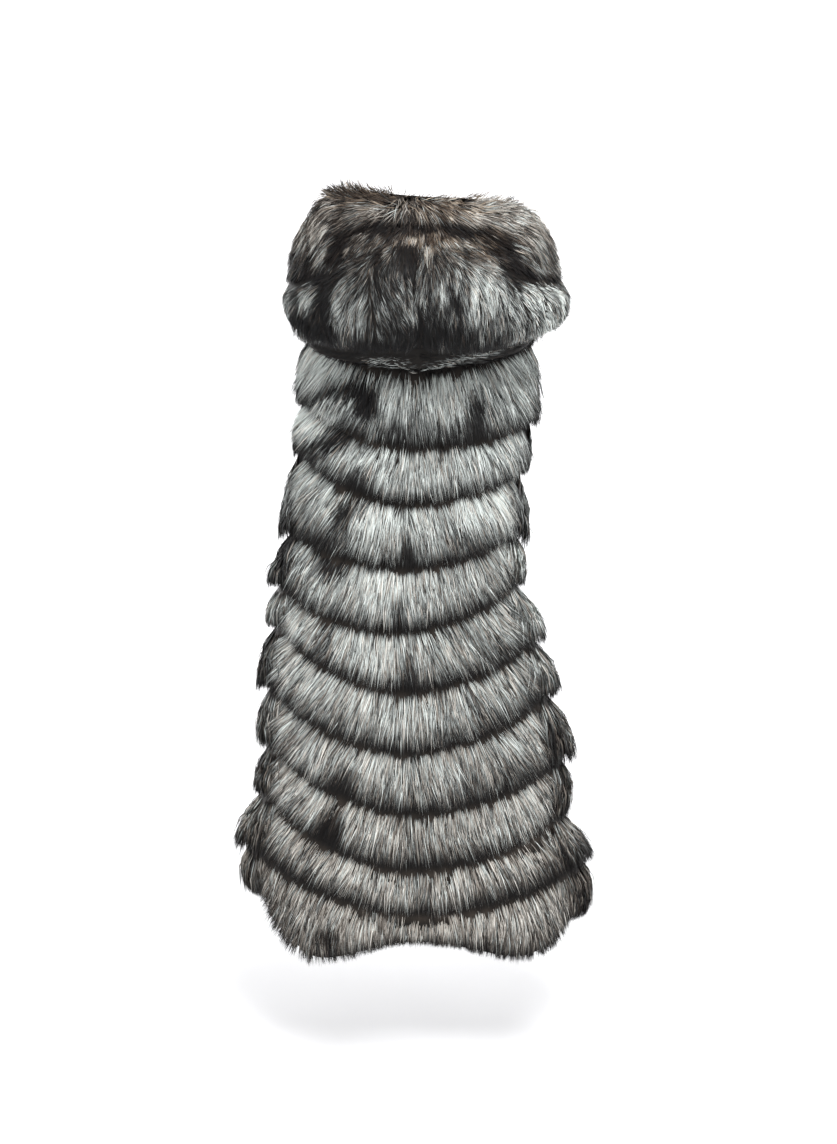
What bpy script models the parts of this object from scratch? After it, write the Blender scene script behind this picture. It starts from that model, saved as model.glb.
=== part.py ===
"""Long hooded fur vest in the hollow shape it takes when it is worn open.

Metres, +Z up. The origin is the nape, at the middle of the back neckline, where the
wearer's neck and shoulders hold the vest. The front faces -Y and the wearer's left is +X.
The back and the two fronts are sewn from eleven fur strips, numbered from the yoke down.
Each strip is a solid of the reach of its hair: the inner face is the skin and the outer
face is the swell of the fur. The hood lies down on the back, its mouth open upwards.
"""

import math
from functools import partial

import bmesh
import bpy
from mathutils import Vector

# Clearance where two pieces are sewn together.
SEAM_GAP = 0.0003
STRIPS = 11
BODY_AXIS_Y = -0.09
BODY_ROUNDNESS = 2.3

# Side seams, front edges and armholes are angles round the body from the centre back.
SIDE_SEAM = 60.0
# The armhole's front edge starts this far round from the side seam at the shoulder and
# runs in a curve down to it, this many strips below the shoulder.
ARMHOLE_FRONT = 54.0
ARMHOLE_STRIPS = 3.65
# Each seam falls by this much from the side seam to the front edge.
FRONT_DROP = 0.03
CHEVRON_POWER = 1.25
SAG_POWER = 1.5

# One row for each seam between strips, from the lower edge of the yoke to the hem.
# Heights and widths are those of the skin: z and x of the centre back, the rise of the
# seam towards each side seam, the sag between them, the half widths, depths and the angle
# of the front edge.
SEAM_COLUMNS = ("z", "rise_left", "rise_right", "sag_left", "sag_right", "centre_x",
                "half_left", "half_right", "back", "front", "edge")
SEAMS = (
    (-0.176, 0.060, 0.050, 0.000, 0.000, -0.004, 0.222, 0.218, 0.133, 0.130, 171),
    (-0.304, 0.075, 0.035, 0.000, 0.000, 0.008, 0.212, 0.220, 0.139, 0.138, 170),
    (-0.404, 0.078, 0.046, 0.000, 0.000, 0.024, 0.196, 0.210, 0.145, 0.144, 168),
    (-0.517, 0.045, 0.043, 0.000, 0.000, 0.027, 0.205, 0.202, 0.151, 0.148, 166),
    (-0.632, 0.061, 0.065, 0.000, 0.000, 0.038, 0.214, 0.213, 0.157, 0.152, 165),
    (-0.739, 0.092, 0.060, 0.000, 0.000, 0.028, 0.233, 0.240, 0.163, 0.156, 164),
    (-0.849, 0.085, 0.068, 0.000, 0.000, 0.024, 0.249, 0.262, 0.169, 0.160, 163),
    (-0.960, 0.090, 0.058, 0.000, 0.000, 0.015, 0.259, 0.279, 0.175, 0.164, 162),
    (-1.064, 0.100, 0.060, 0.000, 0.000, 0.015, 0.272, 0.276, 0.181, 0.168, 161),
    (-1.146, 0.078, 0.045, 0.000, 0.000, -0.003, 0.320, 0.300, 0.187, 0.172, 160),
    (-1.205, 0.055, 0.008, 0.070, 0.044, 0.000, 0.300, 0.298, 0.191, 0.174, 160),
)

# Neckline and shoulder seams. The neck shares are the parts of a yoke's top edge that lie
# on the neckline; the rest is the shoulder seam.
NECK_HALF = 0.085
NECK_BACK = 0.065
NECK_FRONT = 0.125
NECK_SIDE_Z = 0.018
NECK_FRONT_Z = -0.105
NECK_FRONT_ANGLE = 150.0
NECK_FRONT_CURVE = 1.2
SHOULDER_TIP = Vector((0.200, -0.092, -0.055))
BACK_NECK_SHARE = 0.4
FRONT_NECK_SHARE = 0.5
NECK_POINT = 0.01
# How far back and how high the yoke bends between its top edge and the first seam.
YOKE_BEND_BACK = (0.75, 0.75)
YOKE_BEND_FRONT = (0.60, 0.70)

# Rows of a strip from its upper seam to its lower: place and how far the fur stands off.
STRIP_ROWS = ((0.0, 0.010), (0.35, 0.026), (0.70, 0.030), (1.0, 0.014))
# The yoke's fur lies flat under the hood.
YOKE_REACHES = (0.003, 0.011, 0.022, 0.014)
SHOULDER_REACH = 0.006
# The swell sinks to this share at a strip's ends, over this share of its length.
STRIP_END_SHARE = 0.45
STRIP_END_TAPER = 0.2
STRIP_LEAST_WIDTH = 0.2
# The outer edges of a strip's swell roll back from its seams by these shares of the strip.
SEAM_ROLL = 0.02
END_ROLL = 0.012
BACK_COLUMNS = 10
FRONT_COLUMNS = 6

# Lining: its wall and the gap that keeps it off the skin.
LINING_WALL = 0.0015
LINING_GAP = 0.0006

# The hood's section outwards from the neckline: distance from it and height, at angles
# round the neck from the centre back, the wearer's right first.
HOOD_ANGLES = (-150, -115, -85, -50, 0, 50, 85, 115, 150)
HOOD_LINES = ("base", "edge", "tuck", "low", "high", "groove", "rim")
HOOD_SECTIONS = {
    -150: ((0.020, -0.058), (0.042, -0.062), (0.052, -0.062), (0.062, -0.054),
           (0.066, -0.040), (0.058, -0.026), (0.038, 0.004)),
    -115: ((0.045, 0.018), (0.088, -0.012), (0.106, -0.020), (0.126, -0.026),
           (0.134, -0.012), (0.124, 0.006), (0.092, 0.050)),
    -85: ((0.045, 0.042), (0.112, 0.004), (0.134, -0.018), (0.158, -0.052),
          (0.166, -0.036), (0.156, -0.008), (0.122, 0.062)),
    -50: ((0.055, 0.018), (0.140, -0.125), (0.162, -0.115), (0.200, -0.092),
          (0.200, -0.050), (0.164, -0.010), (0.128, 0.106)),
    0: ((0.058, -0.002), (0.104, -0.155), (0.128, -0.130), (0.165, -0.098),
        (0.170, -0.010), (0.136, 0.048), (0.122, 0.120)),
    50: ((0.055, 0.018), (0.138, -0.128), (0.158, -0.118), (0.184, -0.092),
         (0.186, -0.050), (0.152, -0.010), (0.102, 0.126)),
    85: ((0.045, 0.042), (0.108, 0.006), (0.127, -0.014), (0.139, -0.048),
         (0.142, -0.032), (0.134, -0.008), (0.108, 0.056)),
    115: ((0.045, 0.018), (0.086, -0.012), (0.102, -0.020), (0.120, -0.026),
          (0.128, -0.012), (0.118, 0.006), (0.088, 0.050)),
    150: ((0.020, -0.058), (0.042, -0.062), (0.052, -0.062), (0.062, -0.054),
          (0.066, -0.040), (0.058, -0.026), (0.038, 0.004)),
}
# The hood starts this far above the neckline and ends at this angle on each side.
HOOD_NECK_LIFT = 0.009
HOOD_FRONT = 150.0
# Where hood seams end at an angle, and the number of columns up to the next of them.
HOOD_STOPS = ((-HOOD_FRONT, 10), (-34.0, 4), (0.0, 6), (50.0, 11), (HOOD_FRONT, 0))
CROWN_RIGHT = HOOD_STOPS[1][0]
CROWN_LEFT = HOOD_STOPS[3][0]
# Least radius and least spacing of section lines, which turn the seam gap into shares.
HOOD_LEAST_RADIUS = 0.12
HOOD_LINE_STEP = 0.02
# The swell rolls back from seams by these degrees and shares of a section line, sinks to
# a share at the ends over a share of the piece, and tapers towards the front neckline.
HOOD_ROLL = 1.2
HOOD_LINE_ROLL = 0.14
HOOD_END_SHARE = 0.5
HOOD_END_TAPER = 0.25
FRONT_TAPER_FROM = 95.0
FRONT_TAPER = 0.5
# Rows of each hood piece: section line and how far the fur stands off.
HOOD_BASE_ROWS = ((0.0, 0.002), (1.0, 0.016), (2.0, 0.018), (3.0, 0.006))
HOOD_CROWN_ROWS = ((3.0, 0.010), (3.6, 0.024), (4.4, 0.030), (5.2, 0.028), (6.0, 0.010))
HOOD_SIDE_ROWS = ((3.0, 0.006), (3.8, 0.014), (5.0, 0.022), (6.0, 0.010))
HOOD_TRIM_ROWS = ((6.0, 0.012), (6.35, 0.040), (6.7, 0.042), (7.0, 0.024))

SILVER = (0.42, 0.44, 0.43)
WARM_GREY = (0.30, 0.27, 0.25)
LINING_BLACK = (0.012, 0.012, 0.014)
FUR_ROUGHNESS = 0.6
LINING_ROUGHNESS = 0.35
SHARP_ANGLE = 50.0

# Steps over which surface directions are measured: share of a strip, degrees, section line.
SEAM_STEP = 0.02
ANGLE_STEP = 1.0
LINE_STEP = 0.05


def mix(first, second, share):
    """Value, or tuple of values, a share of the way from the first to the second."""
    if isinstance(first, tuple):
        return tuple(mix(a, b, share) for a, b in zip(first, second))
    return first + (second - first) * share


def smooth_between(values, place):
    """Value at a place along equally spaced values, on a curve through all of them."""
    last = len(values) - 1
    start = min(max(int(math.floor(place)), 0), last - 1)
    share = place - start
    here, there = values[start], values[start + 1]
    slope_here = (there - values[start - 1]) / 2 if start > 0 else there - here
    slope_there = (values[start + 2] - here) / 2 if start + 2 <= last else there - here
    square = share * share
    cube = square * share
    return ((2 * cube - 3 * square + 1) * here + (cube - 2 * square + share) * slope_here
            + (3 * square - 2 * cube) * there + (cube - square) * slope_there)


def seam_value(name, seam):
    """One column of the seam table at a seam number from 1 to 11, or between seams."""
    column = SEAM_COLUMNS.index(name)
    return smooth_between([row[column] for row in SEAMS], seam - 1.0)


def rounded(value):
    """Sine or cosine of an angle, pushed outwards so that the ring is a rounded oblong."""
    return math.copysign(abs(value) ** (2.0 / BODY_ROUNDNESS), value)


def ring_point(seam, angle):
    """Skin surface at a seam number and an angle from the centre back, left positive."""
    side = "left" if angle >= 0 else "right"
    turn = math.radians(angle)
    to_side = min(abs(angle) / SIDE_SEAM, 1.0)
    to_front = max(abs(angle) - SIDE_SEAM, 0.0) / (seam_value("edge", seam) - SIDE_SEAM)
    depth = seam_value("back" if math.cos(turn) > 0 else "front", seam)
    x = seam_value("centre_x", seam) + seam_value("half_" + side, seam) * rounded(math.sin(turn))
    y = BODY_AXIS_Y + depth * rounded(math.cos(turn))
    z = (seam_value("z", seam) + seam_value("rise_" + side, seam) * to_side ** CHEVRON_POWER
         - seam_value("sag_" + side, seam) * math.sin(math.pi * to_side ** SAG_POWER)
         - FRONT_DROP * to_front)
    return Vector((x, y, z))


def neckline(angle):
    """Neckline at an angle round the neck from the centre back, left positive."""
    turn = math.radians(angle)
    depth = NECK_BACK if abs(angle) <= 90 else NECK_FRONT
    x = NECK_HALF * math.sin(turn)
    y = -NECK_BACK + depth * math.cos(turn)
    if abs(angle) <= 90:
        z = NECK_SIDE_Z * (1 - math.cos(turn))
    else:
        down = (abs(angle) - 90) / (NECK_FRONT_ANGLE - 90)
        z = mix(NECK_SIDE_Z, NECK_FRONT_Z, down ** NECK_FRONT_CURVE)
    return Vector((x, y, z))


def shoulder_seam(side, share):
    """Shoulder seam from the neck, share 0, to the tip, share 1."""
    tip = Vector((side * SHOULDER_TIP.x, SHOULDER_TIP.y, SHOULDER_TIP.z))
    return neckline(side * 90.0).lerp(tip, share)


def yoke_point(seam, top, bottom, bend_shares):
    """Yoke surface, curving from its top edge over the shoulder to the first seam."""
    outwards, raised = bend_shares
    bend = Vector((mix(top.x, bottom.x, 0.5), mix(top.y, bottom.y, outwards),
                   mix(bottom.z, top.z, raised)))
    return top.lerp(bend, seam).lerp(bend.lerp(bottom, seam), seam)


def back_angle(across):
    """Angle on the back from its right side seam (-1) to its left (1)."""
    return SIDE_SEAM * across


def back_point(seam, across):
    """Back panel, from its right side seam (across -1) to its left (across 1)."""
    if seam >= 1.0:
        return ring_point(seam, back_angle(across))
    side = math.copysign(1.0, across)
    reach = abs(across)
    if reach <= BACK_NECK_SHARE:
        top = neckline(side * 90.0 * reach / BACK_NECK_SHARE)
    else:
        top = shoulder_seam(side, (reach - BACK_NECK_SHARE) / (1 - BACK_NECK_SHARE))
    return yoke_point(seam, top, ring_point(1.0, back_angle(across)), YOKE_BEND_BACK)


def front_angle(seam, across):
    """Angle on a front from its side seam or armhole edge (0) to the front edge (1)."""
    opening = max(1 - (seam / ARMHOLE_STRIPS) ** 2, 0.0) ** 0.5
    return mix(SIDE_SEAM + ARMHOLE_FRONT * opening, seam_value("edge", max(seam, 1.0)), across)


def front_point(side, seam, across):
    """A front panel, from its side seam or armhole edge (0) to the front edge (1)."""
    if seam >= 1.0:
        return ring_point(seam, side * front_angle(seam, across))
    if across <= FRONT_NECK_SHARE:
        top = shoulder_seam(side, 1 - across / FRONT_NECK_SHARE)
    else:
        down = (across - FRONT_NECK_SHARE) / (1 - FRONT_NECK_SHARE)
        top = neckline(side * mix(90.0, NECK_FRONT_ANGLE, down))
    bottom = ring_point(1.0, side * front_angle(1.0, across))
    return yoke_point(seam, top, bottom, YOKE_BEND_FRONT)


def hood_point(angle, line):
    """Hood surface at an angle round the neck and a line of the section, 0 at the neck."""
    turn = math.radians(angle)
    start = neckline(angle)
    place = 0
    while place < len(HOOD_ANGLES) - 2 and angle > HOOD_ANGLES[place + 1]:
        place += 1
    share = (angle - HOOD_ANGLES[place]) / (HOOD_ANGLES[place + 1] - HOOD_ANGLES[place])
    distances = [0.0]
    heights = [start.z + HOOD_NECK_LIFT]
    for index in range(len(HOOD_LINES)):
        rows = [HOOD_SECTIONS[row][index] for row in HOOD_ANGLES]
        distances.append(smooth_between([row[0] for row in rows], place + share))
        heights.append(smooth_between([row[1] for row in rows], place + share))
    distance = smooth_between(distances, line)
    outwards = Vector((math.sin(turn), math.cos(turn), 0.0))
    point = start + outwards * distance
    return Vector((point.x, point.y, smooth_between(heights, line)))


def hood_normal(angle, line):
    """Outward direction of the hood, the same on both sides of every seam."""
    sideways = hood_point(angle + ANGLE_STEP, line) - hood_point(angle - ANGLE_STEP, line)
    above = max(line - LINE_STEP, 0.0)
    along = hood_point(angle, line + LINE_STEP) - hood_point(angle, above)
    return along.cross(sideways).normalized()


def ring_normal(seam, angle):
    """Outward direction on the body, the same on both sides of every seam."""
    above = max(seam - SEAM_STEP, 1.0)
    along = ring_point(seam + SEAM_STEP, angle) - ring_point(above, angle)
    sideways = ring_point(seam, angle + ANGLE_STEP) - ring_point(seam, angle - ANGLE_STEP)
    return sideways.cross(along).normalized()


def yoke_normal(point, seam, across, on_shoulder):
    """Outward direction on a yoke, upright along the shoulder seam."""
    along = point(seam + SEAM_STEP, across) - point(max(seam - SEAM_STEP, 0.0), across)
    sideways = point(seam, across + SEAM_STEP) - point(seam, across - SEAM_STEP)
    normal = sideways.cross(along).normalized()
    if seam == 0.0 and on_shoulder:
        normal.y = 0.0
        normal.normalize()
    return normal


def fur_colour(strip):
    """Cool silver on the upper strips, warmer and darker towards the hem."""
    return mix(SILVER, WARM_GREY, strip / (STRIPS - 1))


def material(name, colour, roughness):
    """A plain finish in a piece's own colour."""
    made = bpy.data.materials.new(name)
    made.use_nodes = True
    shader = made.node_tree.nodes["Principled BSDF"]
    shader.inputs["Base Color"].default_value = (*colour, 1.0)
    shader.inputs["Roughness"].default_value = roughness
    shader.inputs["Metallic"].default_value = 0.0
    return made


def add_wall(name, columns, rows, place, colour, roughness):
    """A closed wall on a grid. place(column, row) gives its inner and its outer point."""
    mesh = bmesh.new()
    bmesh.ops.create_grid(mesh, x_segments=columns, y_segments=rows, size=1.0)
    corners = {}
    for vert in mesh.verts:
        column = round((vert.co.x + 1) / 2 * columns)
        row = round((vert.co.y + 1) / 2 * rows)
        corners[vert] = place(column, row)
        vert.co = corners[vert][0]
    inner = list(mesh.verts)
    extruded = bmesh.ops.extrude_face_region(mesh, geom=mesh.faces[:] + mesh.edges[:],
                                             use_keep_orig=True)
    outer = [item for item in extruded["geom"] if isinstance(item, bmesh.types.BMVert)]
    by_place = {tuple(vert.co): vert for vert in inner}
    for vert in outer:
        vert.co = corners[by_place[tuple(vert.co)]][1]
    bmesh.ops.recalc_face_normals(mesh, faces=mesh.faces[:])
    data = bpy.data.meshes.new(name)
    mesh.to_mesh(data)
    mesh.free()
    data.materials.append(material(name, colour, roughness))
    data.shade_smooth()
    data.set_sharp_from_angle(angle=math.radians(SHARP_ANGLE))
    bpy.context.scene.collection.objects.link(bpy.data.objects.new(name, data))


def end_share(share):
    """Fur height along a strip: full in the middle, lower at its two ends."""
    inwards = min(share, 1.0 - share) / STRIP_END_TAPER
    return mix(STRIP_END_SHARE, 1.0, min(1.0, inwards))


def strip_seam(strip, row, margin):
    """Seam number of a row of a strip, kept clear of the strips above and below."""
    share = min(max(STRIP_ROWS[row][0], margin), 1 - margin)
    return strip + share


def strip_reach(strip, row, share, on_shoulder):
    """Fur height at a row of a strip and a share of its length."""
    if strip > 0:
        return STRIP_ROWS[row][1] * end_share(share)
    if row == 0:
        return SHOULDER_REACH if on_shoulder else YOKE_REACHES[0]
    return YOKE_REACHES[row] * end_share(share)


def strip_height(strip):
    """Height of a strip at the centre back."""
    top = 0.0 if strip == 0 else seam_value("z", strip)
    return top - seam_value("z", strip + 1.0)


def back_normal(seam, across):
    """Outward direction on the back panel."""
    if seam >= 1.0:
        return ring_normal(seam, back_angle(across))
    return yoke_normal(back_point, seam, across, abs(across) > BACK_NECK_SHARE - NECK_POINT)


def front_normal(side, seam, across):
    """Outward direction on a front panel."""
    if seam >= 1.0:
        return ring_normal(seam, side * front_angle(seam, across))

    def surface(place_seam, place_across):
        return front_point(side, place_seam, place_across)

    return yoke_normal(surface, seam, across, across < FRONT_NECK_SHARE + NECK_POINT) * side


def row_level(strip, row):
    """Seam number at which a row's outward direction is taken, shared at each seam."""
    return strip + STRIP_ROWS[row][0]


def add_back_strip(strip):
    """One strip of the back panel."""
    seam_margin = SEAM_GAP / 2 / strip_height(strip)
    end_margin = SEAM_GAP / 2 / STRIP_LEAST_WIDTH

    def place(column, row):
        share = column / BACK_COLUMNS
        across = mix(-1 + end_margin, 1 - end_margin, share)
        point = back_point(strip_seam(strip, row, seam_margin), across)
        swell = back_point(strip_seam(strip, row, SEAM_ROLL),
                           min(max(across, END_ROLL - 1), 1 - END_ROLL))
        normal = back_normal(row_level(strip, row), across)
        reach = strip_reach(strip, row, share, abs(across) > BACK_NECK_SHARE + NECK_POINT)
        return point, swell + normal * reach

    add_wall(f"back_strip_{strip:02d}", BACK_COLUMNS, len(STRIP_ROWS) - 1, place,
             fur_colour(strip), FUR_ROUGHNESS)


def add_front_strip(side, name, strip):
    """One strip of a front panel; its front edge is free."""
    seam_margin = SEAM_GAP / 2 / strip_height(strip)
    end_margin = SEAM_GAP / 2 / STRIP_LEAST_WIDTH

    def place(column, row):
        share = column / FRONT_COLUMNS
        across = mix(end_margin, 1.0, share)
        point = front_point(side, strip_seam(strip, row, seam_margin), across)
        swell = front_point(side, strip_seam(strip, row, SEAM_ROLL), max(across, END_ROLL))
        normal = front_normal(side, row_level(strip, row), across)
        reach = strip_reach(strip, row, share, across < FRONT_NECK_SHARE - NECK_POINT)
        return point, swell + normal * reach

    add_wall(f"{name}_front_strip_{strip:02d}", FRONT_COLUMNS, len(STRIP_ROWS) - 1, place,
             fur_colour(strip), FUR_ROUGHNESS)


def lining_rows():
    """Seam numbers of the lining's rows: those of the strips, down to above the hem."""
    rows = [strip + share for strip in range(STRIPS) for share, _ in STRIP_ROWS[:-1]]
    rows[0] = SEAM_GAP / strip_height(0)
    return rows


def add_lining(name, columns, first, last, point, normal):
    """A lining panel, made from its panel's own skin points moved inwards."""
    rows = lining_rows()

    def place(column, row):
        across = mix(first, last, column / columns)
        skin = point(rows[row], across)
        inwards = normal(round(rows[row], 2), across) * -1.0
        return skin + inwards * (LINING_GAP + LINING_WALL), skin + inwards * LINING_GAP

    add_wall(name, columns, len(rows) - 1, place, LINING_BLACK, LINING_ROUGHNESS)


def hood_columns(start, end):
    """Angles of a hood piece's columns, which it shares with the pieces beside it."""
    angles = []
    for (low, count), (high, _) in zip(HOOD_STOPS, HOOD_STOPS[1:]):
        if start <= low and high <= end:
            angles += [mix(low, high, step / count) for step in range(count)]
    return angles + [end]


def hood_reach(rows, row, angle, share, ends):
    """Fur height on a hood piece, lower at its seams and towards the front neckline."""
    front = max(abs(angle) - FRONT_TAPER_FROM, 0.0) / (HOOD_FRONT - FRONT_TAPER_FROM)
    inwards = min(share if ends[0] else 1.0, 1.0 - share if ends[1] else 1.0)
    full = min(1.0, inwards / HOOD_END_TAPER)
    return rows[row][1] * mix(HOOD_END_SHARE, 1.0, full) * mix(1.0, FRONT_TAPER, front)


def add_hood_piece(name, rows, start, end, colour):
    """A hood piece between two angles round the neck and the section lines of its rows."""
    angles = hood_columns(start, end)
    margin = math.degrees(SEAM_GAP / 2 / HOOD_LEAST_RADIUS)
    ends = (start > -HOOD_FRONT, end < HOOD_FRONT)
    last_row = len(rows) - 1
    line_margin = SEAM_GAP / 2 / HOOD_LINE_STEP

    def line_inside(row, by):
        """Section line of a row, kept back from the piece's seams."""
        line = rows[row][0]
        if row == 0 and line > 0:
            return line + by
        if row == last_row and line < len(HOOD_LINES):
            return line - by
        return line

    def place(column, row):
        angle = angles[column]
        skin_angle = min(max(angle, start + margin * ends[0]), end - margin * ends[1])
        swell_angle = min(max(angle, start + HOOD_ROLL * ends[0]), end - HOOD_ROLL * ends[1])
        point = hood_point(skin_angle, line_inside(row, line_margin))
        swell = hood_point(swell_angle, line_inside(row, HOOD_LINE_ROLL))
        reach = hood_reach(rows, row, angle, (angle - start) / (end - start), ends)
        return point, swell + hood_normal(angle, rows[row][0]) * reach

    add_wall(name, len(angles) - 1, last_row, place, colour, FUR_ROUGHNESS)


def clear_scene():
    """Start from an empty scene."""
    for item in list(bpy.data.objects):
        bpy.data.objects.remove(item, do_unlink=True)


clear_scene()
for number in range(STRIPS):
    add_back_strip(number)
    add_front_strip(1.0, "left", number)
    add_front_strip(-1.0, "right", number)

lining_end = SEAM_GAP / 2 / STRIP_LEAST_WIDTH
add_lining("back_lining", BACK_COLUMNS, lining_end - 1.0, 1.0 - lining_end,
           back_point, back_normal)
for side_name, side_sign in (("left", 1.0), ("right", -1.0)):
    add_lining(f"{side_name}_front_lining", FRONT_COLUMNS, lining_end, 1.0,
               partial(front_point, side_sign), partial(front_normal, side_sign))

add_hood_piece("hood_base", HOOD_BASE_ROWS, -HOOD_FRONT, HOOD_FRONT, WARM_GREY)
add_hood_piece("hood_crown_left", HOOD_CROWN_ROWS, 0.0, CROWN_LEFT, WARM_GREY)
add_hood_piece("hood_crown_right", HOOD_CROWN_ROWS, CROWN_RIGHT, 0.0, SILVER)
add_hood_piece("hood_side_left", HOOD_SIDE_ROWS, CROWN_LEFT, HOOD_FRONT, WARM_GREY)
add_hood_piece("hood_side_right", HOOD_SIDE_ROWS, -HOOD_FRONT, CROWN_RIGHT, SILVER)
add_hood_piece("hood_trim_left", HOOD_TRIM_ROWS, 0.0, HOOD_FRONT, WARM_GREY)
add_hood_piece("hood_trim_right", HOOD_TRIM_ROWS, -HOOD_FRONT, 0.0, SILVER)
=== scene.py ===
"""Long silver fox vest with its hood lying on the back, worn open and hollow.

Metres, +Z up, the nape at the origin, the back towards +Y and the left side towards +X.
Every fur piece is a skin with underfur on it and guard hairs that rise through the
underfur and lie down over it.
"""

import math
from functools import partial

import bmesh
import bpy
import numpy as np
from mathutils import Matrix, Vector


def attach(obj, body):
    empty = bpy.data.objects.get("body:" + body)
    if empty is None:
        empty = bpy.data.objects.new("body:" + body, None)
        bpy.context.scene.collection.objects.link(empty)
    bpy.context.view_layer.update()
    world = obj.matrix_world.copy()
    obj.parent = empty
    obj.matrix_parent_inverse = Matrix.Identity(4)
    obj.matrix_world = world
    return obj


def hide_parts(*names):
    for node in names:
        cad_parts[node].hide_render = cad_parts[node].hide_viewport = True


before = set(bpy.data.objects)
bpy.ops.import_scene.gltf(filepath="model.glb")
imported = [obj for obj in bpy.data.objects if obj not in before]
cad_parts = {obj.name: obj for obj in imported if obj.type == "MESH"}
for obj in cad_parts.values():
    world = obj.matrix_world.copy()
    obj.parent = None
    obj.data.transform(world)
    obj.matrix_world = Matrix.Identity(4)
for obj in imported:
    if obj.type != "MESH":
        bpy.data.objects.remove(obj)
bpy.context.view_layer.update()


# Camera and studio. A plain pale floor curves up into a pale wall. Large soft lamps stand
# above the camera, at both sides, in front and by the wall, in a bright even surround.
CAMERA_PLACE = (0.0, 3.4, 0.02)
CAMERA_PITCH = math.radians(9.4)
CAMERA_LENS = 59.8
CAMERA_SENSOR = 36.0
FLOOR_Z = -1.46
FLOOR_HALF = 7.0
WALL_Y = -3.2
WALL_BEND = 1.2
WALL_HEIGHT = 6.0
BEND_STEPS = 12
FLOOR_WHITE = (0.88, 0.88, 0.89, 1.0)
FLOOR_ROUGHNESS = 0.9
SURROUND_WHITE = (1.0, 1.0, 1.0, 1.0)
SURROUND_STRENGTH = 0.60
LAMP_SIZE = 1.6
# Each lamp's name, place, aim and power.
LAMPS = (("key_lamp", (-0.7, 2.9, 2.7), (0.0, 0.0, -0.45), 140.0),
         ("left_lamp", (3.0, 1.5, 0.8), (0.0, 0.0, -0.6), 28.0),
         ("right_lamp", (-3.0, 1.2, 0.8), (0.0, 0.0, -0.6), 28.0),
         ("front_lamp", (0.6, -2.6, 2.2), (0.0, 0.0, -0.5), 40.0),
         ("left_wall_lamp", (3.2, -2.4, 0.8), (0.8, -4.4, 0.3), 90.0),
         ("right_wall_lamp", (-3.2, -2.4, 0.8), (-0.8, -4.4, 0.3), 90.0))


def new_verts(made):
    """The corners that a bmesh operator made."""
    return [item for item in made["geom"] if isinstance(item, bmesh.types.BMVert)]


camera = bpy.data.objects.new("camera", bpy.data.cameras.new("camera"))
camera.data.sensor_fit = "VERTICAL"
camera.data.sensor_height = CAMERA_SENSOR
camera.data.lens = CAMERA_LENS
camera.location = CAMERA_PLACE
camera.rotation_euler = (math.pi / 2 - CAMERA_PITCH, 0.0, math.pi)
bpy.context.scene.collection.objects.link(camera)
bpy.context.scene.camera = camera
bpy.context.scene.view_settings.view_transform = "Standard"

sweep = bmesh.new()
line = [(WALL_Y - WALL_BEND, FLOOR_Z + WALL_HEIGHT)]
for step in range(BEND_STEPS + 1):
    turn = math.pi / 2 * step / BEND_STEPS
    line.append((WALL_Y - WALL_BEND * math.cos(turn),
                 FLOOR_Z + WALL_BEND * (1 - math.sin(turn))))
line.append((FLOOR_HALF, FLOOR_Z))
verts = [sweep.verts.new((-FLOOR_HALF, y, z)) for y, z in line]
edges = [sweep.edges.new(pair) for pair in zip(verts, verts[1:])]
drawn = bmesh.ops.extrude_edge_only(sweep, edges=edges)
bmesh.ops.translate(sweep, vec=(2 * FLOOR_HALF, 0.0, 0.0), verts=new_verts(drawn))
bmesh.ops.recalc_face_normals(sweep, faces=sweep.faces[:])
floor_mesh = bpy.data.meshes.new("studio_floor")
sweep.to_mesh(floor_mesh)
sweep.free()
floor_mesh.shade_smooth()
floor = bpy.data.objects.new("studio_floor", floor_mesh)
bpy.context.scene.collection.objects.link(floor)
floor_paint = bpy.data.materials.new("pale_floor")
floor_paint.use_nodes = True
floor_shader = floor_paint.node_tree.nodes["Principled BSDF"]
floor_shader.inputs["Base Color"].default_value = FLOOR_WHITE
floor_shader.inputs["Roughness"].default_value = FLOOR_ROUGHNESS
floor_mesh.materials.append(floor_paint)

for name, place, aim, power in LAMPS:
    lamp = bpy.data.lights.new(name, "AREA")
    lamp.size = LAMP_SIZE
    lamp.energy = power
    holder = bpy.data.objects.new(name, lamp)
    holder.location = place
    holder.rotation_euler = (Vector(aim) - holder.location).to_track_quat("-Z", "Y").to_euler()
    bpy.context.scene.collection.objects.link(holder)
surround = bpy.data.worlds.new("surround")
surround.use_nodes = True
surround.node_tree.nodes["Background"].inputs["Color"].default_value = SURROUND_WHITE
surround.node_tree.nodes["Background"].inputs["Strength"].default_value = SURROUND_STRENGTH
bpy.context.scene.world = surround


# Back panel: eleven strips let out from silver fox pelts, sewn one under another and
# joined at the centre back. Each strip is skin with dense dark underfur, and silver
# guard hairs that rise along its top and hang over its lower seam.
STRIPS = 11
BODY_AXIS_Y = -0.09
BODY_ROUNDNESS = 2.3
SIDE_SEAM = 60.0
ARMHOLE_FRONT = 54.0
ARMHOLE_STRIPS = 3.65
FRONT_DROP = 0.03
CHEVRON_POWER = 1.25
SAG_POWER = 1.5
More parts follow.
